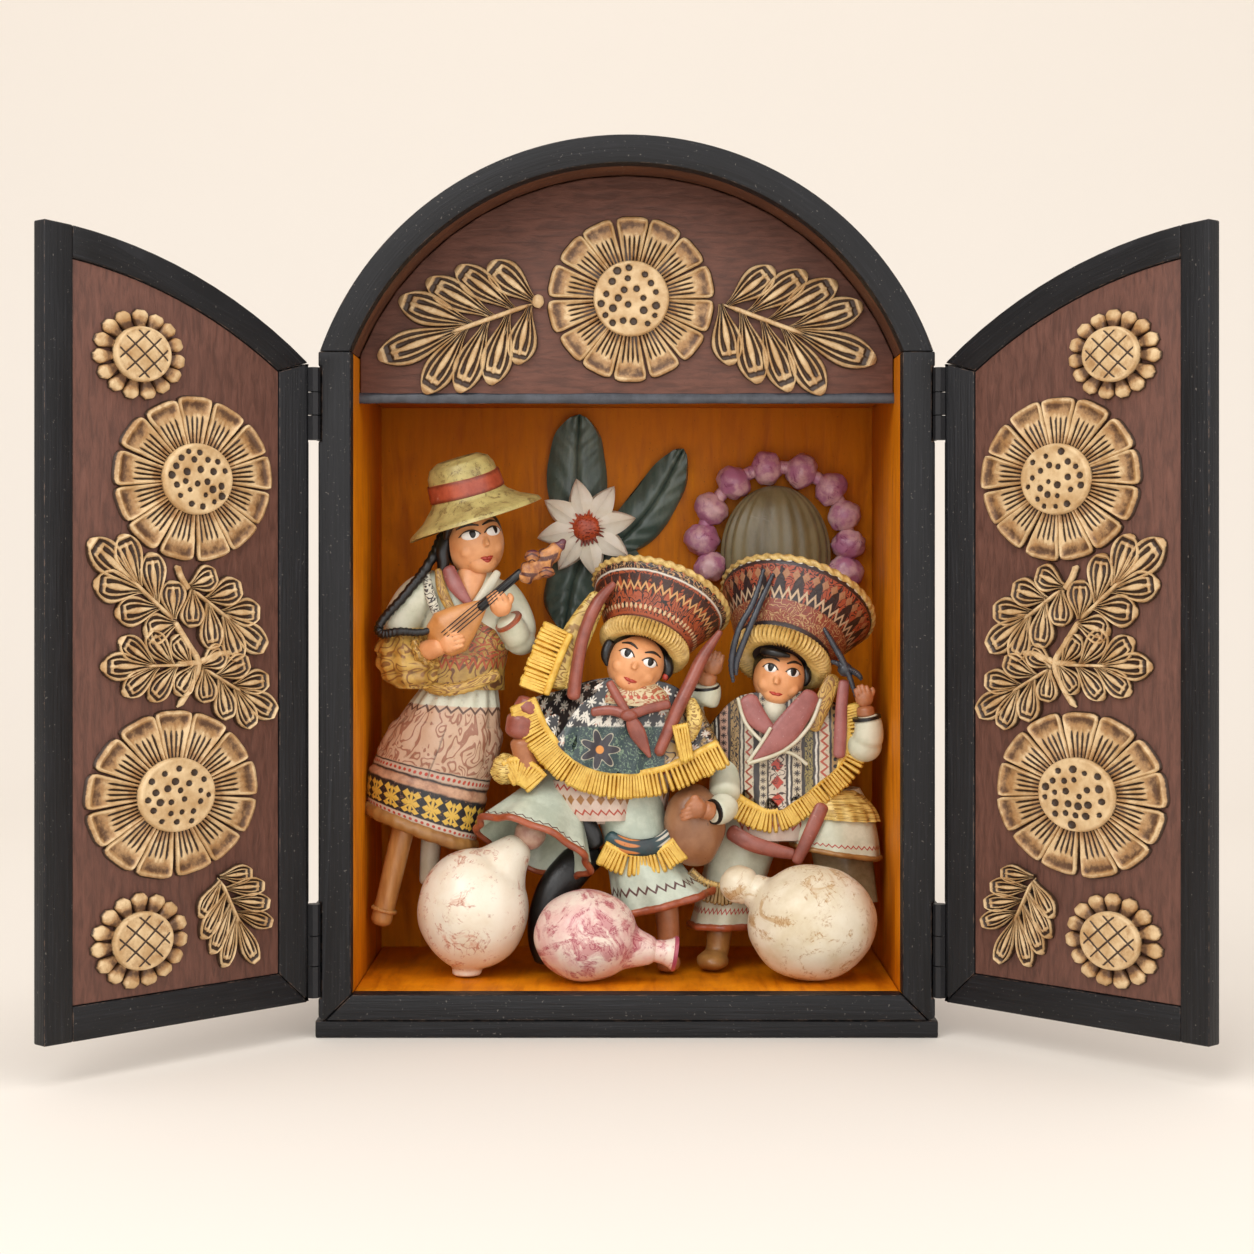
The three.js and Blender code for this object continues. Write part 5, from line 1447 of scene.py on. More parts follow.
def ponchoCentrePaint():
    material, tree, shader = newMaterial("ponchoCentrePaint")
    parts = objectParts(tree)
    x, z = parts[0], parts[2]
    u, v = grainParts(tree)
    fine = objectNoise(tree, 800, 4, 0.6)
    broad = objectNoise(tree, 120, 4, 0.6)
    color = mixColor(tree, broad, (0.012, 0.011, 0.013), (0.03, 0.026, 0.026))
    marks = useGroup(tree, ornament, {"Count": 30.0, "Rows": 5.0}, {"U": u, "V": v})
    strokes = calc(tree, "MAXIMUM", calc(tree, "MULTIPLY", marks.outputs["Line"], band(tree, v, 0.4, 0.6)),
                   marks.outputs["Crosses"])
    gems = calc(tree, "MULTIPLY", stepUp(tree, broad, 0.5, 0.46), marks.outputs["Dots"])
    color = mixColor(tree, gems, color, (0.46, 0.13, 0.04))
    color = mixColor(tree, calc(tree, "MULTIPLY", strokes, stepUp(tree, fine, 0.3, 0.45)), color, paintWhite)
    teal = calc(tree, "MULTIPLY", band(tree, x, -0.026, 0.0155, 0.0004), stepUp(tree, z, 0.1225, 0.1215))
    veins = objectNoise(tree, 420, 5, 0.7, distortion=2.0)
    tealMix = mixColor(tree, stepUp(tree, veins, 0.52, 0.6), (0.010, 0.035, 0.036), (0.16, 0.24, 0.15))
    color = mixColor(tree, teal, color, tealMix)
    gold = calc(tree, "MULTIPLY", stepUp(tree, x, 0.0155, 0.0165), stepUp(tree, z, 0.131, 0.129))
    goldMix = mixColor(tree, marks.outputs["Curls"], (0.40, 0.25, 0.08), (0.04, 0.02, 0.015))
    color = mixColor(tree, calc(tree, "MULTIPLY", gold, stepUp(tree, broad, 0.36, 0.5)), color, goldMix)
    away = calc(tree, "SQRT", calc(tree, "ADD", calc(tree, "POWER", calc(tree, "ADD", x, 0.0112), 2.0),
                                   calc(tree, "POWER", calc(tree, "SUBTRACT", z, 0.1125), 2.0)))
    turn = calc(tree, "ARCTAN2", calc(tree, "SUBTRACT", z, 0.1125), calc(tree, "ADD", x, 0.0112))
    petals = calc(tree, "MULTIPLY_ADD", calc(tree, "COSINE", calc(tree, "MULTIPLY", turn, 7.0)), 0.0021, 0.0062)
    inside = stepUp(tree, calc(tree, "SUBTRACT", away, petals), 0.0003, -0.0003)
    color = mixColor(tree, inside, color, (0.02, 0.014, 0.02))
    rim = band(tree, calc(tree, "SUBTRACT", away, petals), -0.0002, 0.0004, 0.00015)
    color = mixColor(tree, rim, color, (0.4, 0.36, 0.26))
    color = mixColor(tree, stepUp(tree, away, 0.0019, 0.0015), color, (0.7, 0.26, 0.03))
    surface(tree, shader, color, fine, 0.25, 0.24, (0.35, 0.22))
    bump(tree, shader, fine, 0.0002, 0.6)
    return material


ponchoCentre = ponchoCentrePaint()
print("figure paints ready")


def hemRoll(name, centre, rx, ry, slope, thick, material, pleat=0.0, pleats=5):
    centre = Vector(centre)

    def place(u, v):
        turn, a = v * 2 * math.pi, u * 2 * math.pi
        swell = 1 + pleat * math.cos(pleats * turn)
        x, y = math.sin(turn) * swell, -math.cos(turn) * swell
        lumpy = thick * (1 + 0.05 * math.sin(turn * 13) + 0.04 * math.sin(turn * 29 + 1))
        push = math.cos(a) * lumpy
        return centre + Vector((x * (rx + push), y * (ry + push), slope * x * rx + math.sin(a) * lumpy))
    return dress(gridPiece(name, 12, 160, place, close=False), material)


def limb(name, points, radii, material):
    return dress(tube(name, points, radii, 18), material)


# A small modelled hand: palm at centre, four fingers along way, thumb to one side.
def hand(name, centre, size, way, spread, material):
    centre, way, spread = Vector(centre), Vector(way).normalized(), Vector(spread).normalized()
    front = Vector((0, -1, 0))
    parts = [ball("palm", centre, (size * 0.95, size * 0.62, size * 0.95), 20, 14, 0.06, 3)]
    for k in range(4):
        root = centre + spread * size * (0.6 - 0.4 * k) + front * size * 0.15
        reach = size * (1.45 if k in (1, 2) else 1.2)
        parts.append(tube("finger", [root, root + way * reach * 0.55 + front * size * 0.16,
                                     root + way * reach - front * size * 0.05],
                          [size * 0.27, size * 0.25, size * 0.17], 10, 12))
    thumb = centre + spread * size * 0.7
    parts.append(tube("thumb", [thumb, thumb + (way * 0.5 + spread * 0.5) * size * 0.8,
                                thumb + (way + spread * 0.4) * size * 0.85],
                      [size * 0.3, size * 0.27, size * 0.18], 10, 10))
    return dress(blendParts(name, parts, 0.32, 3), material)


def makeMusician():
    skirtRings = [(at(-70.3, 60, 140), 16, 11.5), (at(-76.5, 60, 118), 23.6, 14.4, -0.12),
                  (at(-84.5, 60, 96), 24.6, 16, -0.28),
                  (at(-87.5, 60, 77), 22.3, 16.4, -0.38)]

    def pleats(u, t):
        fold = (0.03 * math.cos(u * 2 * math.pi * 16) * (1 - smooth(0.15, 0.3, t))
                + 0.05 * abs(math.cos(u * 9 * math.pi + 0.5)) * bell(t, 0.34, 0.2))
        step = 0.05 * smooth(0.28, 0.31, t) + 0.035 * smooth(0.64, 0.66, t) - 0.03 * smooth(0.9, 0.95, t)
        lumps = 0.012 * math.sin(u * 61 + t * 9) * math.sin(t * 53) * (0.3 < t < 0.62)
        return 0.93 + fold + step + lumps
    dress(ringBody("musician_skirt", skirtRings, 160, 90, pleats), panelSkirt, nodes=["musician"])
    hemRoll("musician_skirt_hem", at(-87.6, 60, 78.5), 21.6, 15.8, -0.38, 3.1, ochre)
    torsoRings = [(at(-65, 60, 188), 6, 6), (at(-66.5, 60, 179), 17, 9.6), (at(-68, 60, 170), 20.5, 11.4),
                  (at(-69, 60, 158), 19.6, 12.2),
                  (at(-70.3, 60, 137), 17, 11.8)]
    blouse = [ringBody("torso", torsoRings, 80, 44),
              tube("sleeve", [at(-76, 60, 182), at(-87, 58, 177), at(-94, 56, 168), at(-98, 54, 158)],
                   [6.5, 8.6, 8.4, 7.6], 22, 24),
              tube("sleeve", [at(-56, 60, 181), at(-50, 59.5, 174), at(-45.4, 58, 165), at(-44.6, 56, 158)],
                   [6, 6.8, 6.6, 6.2], 22, 24),
              ball("elbow", at(-44.8, 55, 157), (6.6, 6.2, 5.8), 20, 14),
              tube("sleeve", [at(-45, 54.6, 157), at(-47.8, 50, 162), at(-50.6, 46, 167.4)], [6.2, 5.8, 5.6], 20,
                   18)]
    dress(blendParts("musician_blouse", blouse, 0.75, 5), mint)
    dress(tube("musician_cuff_line", [at(-49.2, 47.4, 165.2), at(-49.9, 46.9, 166.2)], [6.3, 6.2], 22, 4,
               blunt=True), hemRed)
    dress(tube("musician_neckline", [at(-65.2, 56, 188.6), at(-65.8, 52.2, 181), at(-67.4, 48.6, 172)],
               [(6.6, 4.2), (5.2, 2.4), (0.8, 0.8)], 18, 20), skin)
    bodice = [(at(-68.4, 60, 167), 16, 12.2), (at(-69.4, 59.6, 158), 19.9, 13), (at(-70.2, 59.8, 147), 18.6, 13),
              (at(-70.6, 60, 137), 18.6, 13, -0.05)]
    dress(ringBody("musician_bodice", bodice, 100, 40, folded(0.02, 9)), bodicePaint)
    dress(joinPieces("musician_collar", [
        tube("side", [at(-75.6, 51, 189), at(-72, 47.8, 181), at(-65.4, 45.8, 172.4)],
             [(2.6, 0.9), (3.2, 0.9), (1.4, 0.8)], 12, 24)]), mauveBand)
    dress(tube("musician_collar_right", [at(-54, 51, 187), at(-58.4, 48, 179.6), at(-65, 46.2, 171.6)],
               [(1.5, 0.8), (2.2, 0.9), (1.0, 0.8)], 12, 24),
          creamCloth)
    dress(joinPieces("musician_trim", [
        tube("trim", [at(-79.6, 51.2, 188), at(-77.4, 48.6, 178), at(-72, 46.2, 168)],
             [(1.4, 0.7), (2.2, 0.7), (1.8, 0.7)], 12, 24)]), lacePaint)
    dress(tube("musician_trim_scroll", [at(-84.6, 52, 186), at(-83, 49.6, 177.6), at(-79.6, 47.4, 168.4)],
               [(1.4, 0.7), (2.3, 0.7), (1.8, 0.7)], 12, 24),
          scrollTrim)
    dress(tube("musician_belt", [at(-89, 55, 142.4), at(-80, 48.4, 137.4), at(-68, 46.4, 138.2),
                                 at(-53.6, 52, 144)], [(2.7, 1.4)] * 4, 12, 40,
               wave=lambda u, v: 1 + 0.09 * math.sin(v * 90)), lacePaint)

    def puff(u, t):
        return 1 + 0.05 * math.cos(u * 2 * math.pi * 9 + 2 * t) + 0.05 * math.sin(t * 26)
    sleeve = [(at(-94, 54, 163), 8.4, 7.4), (at(-93.2, 53, 156), 12, 10), (at(-92, 52, 149), 13, 11),
              (at(-91, 51.5, 142), 11.4, 10),
              (at(-90, 51, 137.5), 6.4, 6)]
    dress(ringBody("musician_lace_sleeve", sleeve, 100, 56, puff), lacePaint)
    cuff = turned("musician_lace_cuff", [(4, 0), (6.2, 1.5), (7.4, 4.5), (6.6, 5.6), (4.6, 4.6), (0, 4)],
                  at(-87.5, 48, 151.5), at(-82, 44.5, 155),
                  90, 24, lambda u, v, r, h: (r * (1 + 0.07 * math.cos(u * 2 * math.pi * 11)), h))
    dress(cuff, lacePaint)
    limb("musician_arm_left", [at(-86, 47, 152.5), at(-81, 44.6, 154.6), at(-76, 42.8, 156.6)], [4.6, 4.3, 4.0],
         skin)
    hand("musician_hand_left", at(-74, 41.8, 157.2), 4.7, (1, -0.1, 0.3), (-0.3, 0, 1), skin)
    hand("musician_hand_right", at(-52.6, 43, 172.4), 4.9, (-0.5, -0.1, 1), (1, 0, 0.3), skin)
    body = turned("musician_charango", [(0, -13.5), (3.4, -12.6), (8.4, -9), (10.4, -3), (8.2, 3.2), (6, 8),
                                        (3.4, 13), (1.6, 16), (0, 16.4)],
                  at(-71.5, 44.4, 163.4), at(-45, 43.5, 185.8), 40, 40, squash=0.5)
    dress(body, guitarWood)
    dress(tube("musician_charango_neck", [at(-62, 42.6, 171), at(-52, 42.4, 179.8), at(-43.5, 43.4, 187)],
               [(1.9, 1.5)] * 3, 10, 16), black)
    dress(joinPieces("musician_charango_head", [
        tube("head", [at(-45, 43.6, 183.6), at(-38.6, 43.4, 188), at(-31.6, 43.6, 194), at(-25.6, 44, 200)],
             [(3.2, 2.2), (4.8, 2.6), (3.8, 2.2), (1.0, 1.0)], 18, 34,
             wave=lambda u, v: 1 + 0.12 * math.sin(v * 34 + u * 6.3)),
        ball("scroll", at(-39.4, 42, 193), (3.4, 2.4, 2.8), 18, 12, 0.1, 3),
        ball("scroll", at(-33.6, 42, 186.4), (3.6, 2.2, 2.4), 18, 12, 0.1, 5)]), carvedHead)
    strings = [tube("string", [at(-76 + d, 39.6, 159.5 - d), at(-62 + d, 39.4, 171.2 - d),
                               at(-47 + d * 0.5, 41.6, 183.6 - d * 0.5)],
                    [0.24, 0.24, 0.24], 6, 10) for d in (-1.5, -0.5, 0.5, 1.5)]
    dress(joinPieces("musician_charango_strings", strings), black)
    face = {"eyes": ((-4.6, 3.2), (5.8, 3.4)), "eye": (3.9, 2.0), "nose": (1.4, -2.4), "mouth": (1.1, -7.4),
            "gaze": 0.7}
    origin, turn = facePieces("musician", at(-64.5, 58.6, 198.8), (12.5, 12.2, 14.4), -10, 20, face, skin)
    drops = [((at(-74, 57, 206), at(-77.8, 54, 196), at(-77.5, 53, 189), at(-80, 53, 184)), 2.8),
             ((at(-70, 48, 209.5), at(-74.4, 48.6, 206.5), at(-76.4, 51, 200)), 2.0)]
    strandHair("musician", origin, turn, (12.9, 12.2, 14.2), drops)
    braid = [at(-78, 58, 203), at(-83.4, 52, 190), at(-93, 47.5, 177), at(-103, 45.5, 165.4),
             at(-102.6, 43.4, 160.6), at(-95, 42.6, 161.6),
             at(-85, 43, 161.4), at(-76, 43.6, 165)]
    dress(tube("musician_braid", braid, [1.9, 2.1, 2.0, 1.9, 1.9, 1.8, 1.5, 1.0], 14, 150,
               wave=lambda u, v: 1 + 0.1 * math.sin(v * 210 + u * 2 * math.pi)), hair)
    hatStart, hatEnd = at(-66.2, 59.4, 215.2), at(-71.5, 57.4, 233.2)

    def brim(u, v, r, h):
        turn = u * 2 * math.pi
        lift = 0.8 * math.sin(turn * 2 + 0.6) + 2.8 * max(0, math.sin(turn)) - 1.2 * math.cos(turn)
        dent = -1.2 * smooth(9, 2, r) * (h > 14)
        return r, h + lift * smooth(15, 29, r) + dent
    dress(turned("musician_hat", [(0, -1.6), (13, -1.2), (21, -4.6), (28.4, -8.0), (29.5, -7.8), (28.8, -6.4),
                                  (22, -2.2), (16.8, 2.6), (15.3, 5.2),
                                  (15.2, 10), (14.6, 15), (12.8, 18.4), (9, 20.4), (5, 19.8), (0, 19)], hatStart,
                 hatEnd, 96, 84, brim), straw)
    dress(turned("musician_hat_band", [(15.2, 4.0), (16.3, 4.4), (16.1, 7.6), (15.8, 11.6), (14.7, 12)], hatStart,
                 hatEnd, 96, 14,
                 lambda u, v, r, h: (r, h + 0.4 * math.sin(u * 14))), redBand)
    dress(tube("musician_peg_leg", [at(-94, 57, 80), at(-97.5, 57, 66), at(-101, 57, 51), at(-104.6, 57, 36.4)],
               [4.7, 4.7, 4.5, 4.5], 20, 24), tanWood)
    dress(tube("musician_leg_back", [at(-83, 66, 78), at(-84, 66, 66), at(-85, 66, 52)], [4.6, 4.3, 3.8], 16, 14),
          creamCloth)
    hemRoll("musician_leg_ring", at(-102.8, 57, 43.4), 4.6, 4.6, -0.25, 0.9, tanWood)


def makeCentreDancer():
    tunic = [(at(-4, 58, 108), 24.6, 11.8), (at(-4.5, 60, 92), 22.6, 12), (at(-5, 62, 80), 20.6, 11.8)]
    dress(ringBody("centre_dancer_tunic", tunic, 110, 40, folded(0.03, 11)), tunicPaint,
          nodes=["centre_dancer"])
    torso = [(at(1.5, 55, 142), 8, 7), (at(0, 57, 132), 27, 10.5), (at(-1.5, 58, 117), 31, 12.5),
             (at(-3, 58, 102), 28, 11)]
    dress(ringBody("centre_dancer_poncho_back", torso, 90, 36, folded(0.02, 9, False)), ponchoCentre)
    top = ((-30, 134), (-20, 139.5), (-8, 142), (6, 142), (20, 138.5), (31, 130))
    edge = ((-39.5, 134), (-33, 120.3), (-21.8, 108.2), (-6.4, 102.8), (14.5, 104.4), (38.5, 115.5))
    cloakPiece("centre_dancer_poncho", top, edge, (44.6, 38.6), 5.5, ponchoCentre, 0.5, 8, 5.0)
    fringePiece("centre_dancer_poncho_fringe", edge, 11.0, 39.0, 4.0, yellowFringe)
    fringePiece("centre_dancer_shoulder_fringe", ((-34, 135), (-31, 143), (-27.5, 152), (-23.5, 161)), -12.4, 41.2,
                4.0, yellowFringe, 1.5)
    fringePiece("centre_dancer_tassel", ((19, 121.5), (22, 122.2), (25.5, 122.8)), 15.5, 36.4, 2.6, yellowFringe,
                1.1)
    fringePiece("centre_dancer_ruffle_left", ((-52, 106), (-46, 108.5), (-39, 106), (-34, 101)), 10.5, 40.4, 3.0,
                yellowFringe, 1.4)
    dress(ball("centre_dancer_gold_knot", at(-50.6, 45, 104), (6, 4.6, 6.4), 24, 16, 0.2, 6), goldCloth)
    dress(joinPieces("centre_dancer_headcloth", [
        tube("fold", [at(-29, 48, 137), at(-27, 47.4, 148), at(-21, 48.4, 162), at(-12, 51, 178)],
             [(4.6, 2.6), (5.4, 2.8), (5.2, 2.6), (2.6, 2)], 16, 34),
        tube("fold", [at(-24, 47, 136), at(-22, 46.6, 147), at(-17, 47.6, 160), at(-10, 50, 174)],
             [(2.4, 1.8), (2.8, 1.9), (2.6, 1.8), (1.6, 1.2)], 12, 34)]),
        goldCloth)
    dress(joinPieces("centre_dancer_cuff_left", [
        tube("cuff", [at(-39.4, 43, 133.6), at(-43, 42.4, 127)], [(5.4, 3.6), (5.8, 4.2)], 20, 12),
        tube("cuff", [at(-43.4, 43, 128), at(-45.4, 42.6, 116.6)], [(6.4, 4.6), (6.0, 4.8)], 20, 14)]), dustyRed)
    limb("centre_dancer_wrist_left", [at(-44.6, 43.6, 118), at(-43, 44.6, 110), at(-40, 46, 103)], [4.8, 4.6, 4.8],
         brownSkin)
    arm = [tube("arm", [at(18, 59, 130), at(26, 59.4, 129), at(31.6, 58.4, 131)], [6.6, 7.2, 7.2], 20, 18),
           tube("arm", [at(31.4, 58.4, 130.6), at(33.6, 57.4, 135.4), at(33.4, 56.6, 139.6)], [7.2, 6.6, 5.8], 20,
                16)]
    dress(blendParts("centre_dancer_arm_right", arm, 0.7, 4), mint)
    dress(tube("centre_dancer_cuff_right", [at(33.5, 56.8, 137.4), at(33.4, 56.6, 138.4)], [6.15, 5.95], 22, 4,
               blunt=True), black)
    limb("centre_dancer_wrist_right", [at(33.4, 56.4, 138), at(35, 55.2, 144.4)], [4.2, 3.8], brownSkin)
    hand("centre_dancer_hand_right", at(36.4, 54, 147), 4.5, (0.35, 0, 1), (-1, 0, 0.2), brownSkin)

    bell0, bell1 = at(-28, 63, 97.6), at(-39, 43.6, 72)
    profile = [(9.5, 0), (13, 8), (16.6, 16), (20.6, 24), (24.2, 31), (25.6, 34.6), (23.2, 34.2), (19, 27),
               (13, 16), (6, 10), (0, 9)]
    dress(turned("centre_dancer_bell_skirt", profile, bell0, bell1, 120, 80,
                 lambda u, v, r, h: (r * (1 + 0.045 * math.cos(u * 2 * math.pi * 9) * smooth(6, 30, r)), h),
                 squash=0.72), bellMint)
    axis = (bell1 - bell0).normalized()

    def hem(u, v):
        turn, a = v * 2 * math.pi, u * 2 * math.pi
        side = Vector((0, -1, 0)).cross(axis).normalized()
        other = axis.cross(side)
        r = 25.0 * (1 + 0.045 * math.cos(turn * 9))
        out = side * math.cos(turn) + other * math.sin(turn) * 0.72
        return bell0 + axis * (34.4 + math.sin(a) * 1.6) + out * (r + math.cos(a) * 1.6)
    dress(gridPiece("centre_dancer_bell_hem", 12, 160, hem, close=False), hemRed)
    skirt = [(at(0, 58, 93), 15, 11), (at(4.5, 56, 73), 14, 11.4), (at(9, 54, 59), 15.8, 12.4, 0.1),
             (at(15.5, 53, 46.5), 20, 13.2, 0.25)]
    dress(ringBody("centre_dancer_leg_skirt", skirt, 130, 60, folded(0.05, 8)), skirtMint)
    hemRoll("centre_dancer_leg_hem", at(15.6, 53, 47), 19.8, 13.0, 0.25, 1.7, hemRed, 0.05, 8)
    fringePiece("centre_dancer_leg_fringe", ((-9, 73), (1, 68.5), (12, 69.5), (20, 74.5)), 9.5, 42.2, 3.0,
                yellowFringe, 1.3)
    dress(tube("centre_dancer_leg_band", [at(-9, 46, 75.5), at(1, 43.4, 71.5), at(12, 43.6, 72), at(20, 47, 77)],
                        [(3.6, 1.6)] * 4, 14, 30), tealBand)
    dress(tube("centre_dancer_leg", [at(16, 55, 50), at(17.5, 55, 36), at(17.5, 55, 24)], [5.4, 4.8, 4.2], 18, 16),
          brownSkin)
    dress(ball("centre_dancer_foot", at(17.5, 51.5, 22), (5.2, 8.5, 4.0), 24, 14, 0.06, 4), brownSkin)
    straps = (((at(-5, 47, 182), at(-12, 44, 174), at(-17.4, 42.6, 162), at(-20.4, 41.6, 149), at(-22.4, 41, 133)),
               (1.4, 2.6, 2.7, 2.7, 2.9)),
              ((at(39.6, 48, 162), at(32, 46, 151), at(27, 43.4, 141), at(21.6, 41, 130), at(12.8, 38.4, 110)),
               (1.2, 2.6, 2.8, 2.9, 2.3)))
    dress(joinPieces("centre_dancer_straps", [tube("strap", p, r, 14, 44) for p, r in straps]), dustyRed)
    dress(tube("centre_dancer_scarf", [at(-15, 40.4, 128), at(-7, 39, 129), at(0.8, 37.6, 127.4),
                                       at(9, 38.6, 129.6), at(18.4, 41.4, 131.6)],
               [(1.9, 1.2), (2.1, 1.4), (2.2, 1.6), (2.1, 1.4), (2.0, 1.3)], 14, 40), dustyRed)
    dress(ball("centre_dancer_scarf_knot", at(0.8, 36.8, 127), (3.6, 2.4, 2.6), 20, 14, 0.16, 7), dustyRed)
    dress(joinPieces("centre_dancer_scarf_tail", [
        tube("tail", [at(1.4, 37, 126), at(4.6, 36.9, 119.4), at(9.8, 37.4, 109.4)],
             [(2.2, 1.2), (3.4, 1.2), (0.7, 0.6)], 14, 24),
        tube("tail", [at(-7.6, 41.6, 141), at(-3.6, 39.4, 134), at(0.4, 37.6, 128)],
             [(1.7, 1.2), (2.0, 1.3), (1.6, 1.2)], 14, 24)]), dustyRed)
    dress(tube("centre_dancer_gold_fold", [at(26, 43, 134), at(28.4, 41.4, 125), at(25.4, 39.4, 116)],
               [(2.4, 1.6), (3.4, 1.8), (2.2, 1.2)], 14, 24), goldCloth)
    collar = [(at(3, 52, 141.5), 10, 9.6), (at(3.4, 50.6, 136), 15.6, 11.2), (at(3.6, 50, 130.4), 17.4, 11.4, -0.1)]
    dress(ringBody("centre_dancer_collar", collar, 90, 30), collarPaint)
    face = {"eyes": ((-5.2, 2.9), (5.1, 2.9)), "eye": (3.1, 1.95), "nose": (-0.3, -2.0), "mouth": (0.2, -7.0),
            "gaze": 0.1}
    origin, turn = facePieces("centre_dancer", at(3.8, 48.6, 147.9), (12.1, 11.8, 12.8), 22, 0, face, skin)
    drops = [((at(15.5, 50, 152), at(17.4, 47.5, 146), at(16, 47, 141)), 2.3),
             ((at(-6.5, 47, 158), at(-8.8, 45.5, 152.5), at(-8, 46, 147)), 2.0)]
    strandHair("centre_dancer", origin, turn, (12, 11.8, 12.6), drops)
    dress(ball("centre_dancer_earring", at(16.2, 46, 142.5), (1.3, 1.1, 1.5), 14, 10), lips)
    flaredHat("centre_dancer", at(6.4, 50.6, 152.6), at(13.4, 62.4, 172.2), 1.0, centreHatPaint, 1.13)
    dress(tube("centre_dancer_dark_fold", [at(-12, 60, 70), at(-22, 56, 62), at(-31, 53, 50), at(-35, 52, 34),
                                           at(-33, 52, 21)],
               [(7, 5), (8, 6), (8, 6), (7, 5), (5, 4)], 18, 40), black)
    dress(tube("centre_dancer_tail_fold", [at(-20, 52, 84), at(-15, 50.6, 76), at(-12.4, 50, 70)],
               [(5, 2), (4.4, 1.8), (3.4, 1.4)], 14, 20), black)
    apron = [(at(-12, 53, 99), 19, 9), (at(-13, 52.6, 90), 18, 9.6), (at(-11, 52.4, 82), 15, 9.4)]
    dress(ringBody("centre_dancer_apron", apron, 110, 36, folded(0.035, 11)), tunicPaint)


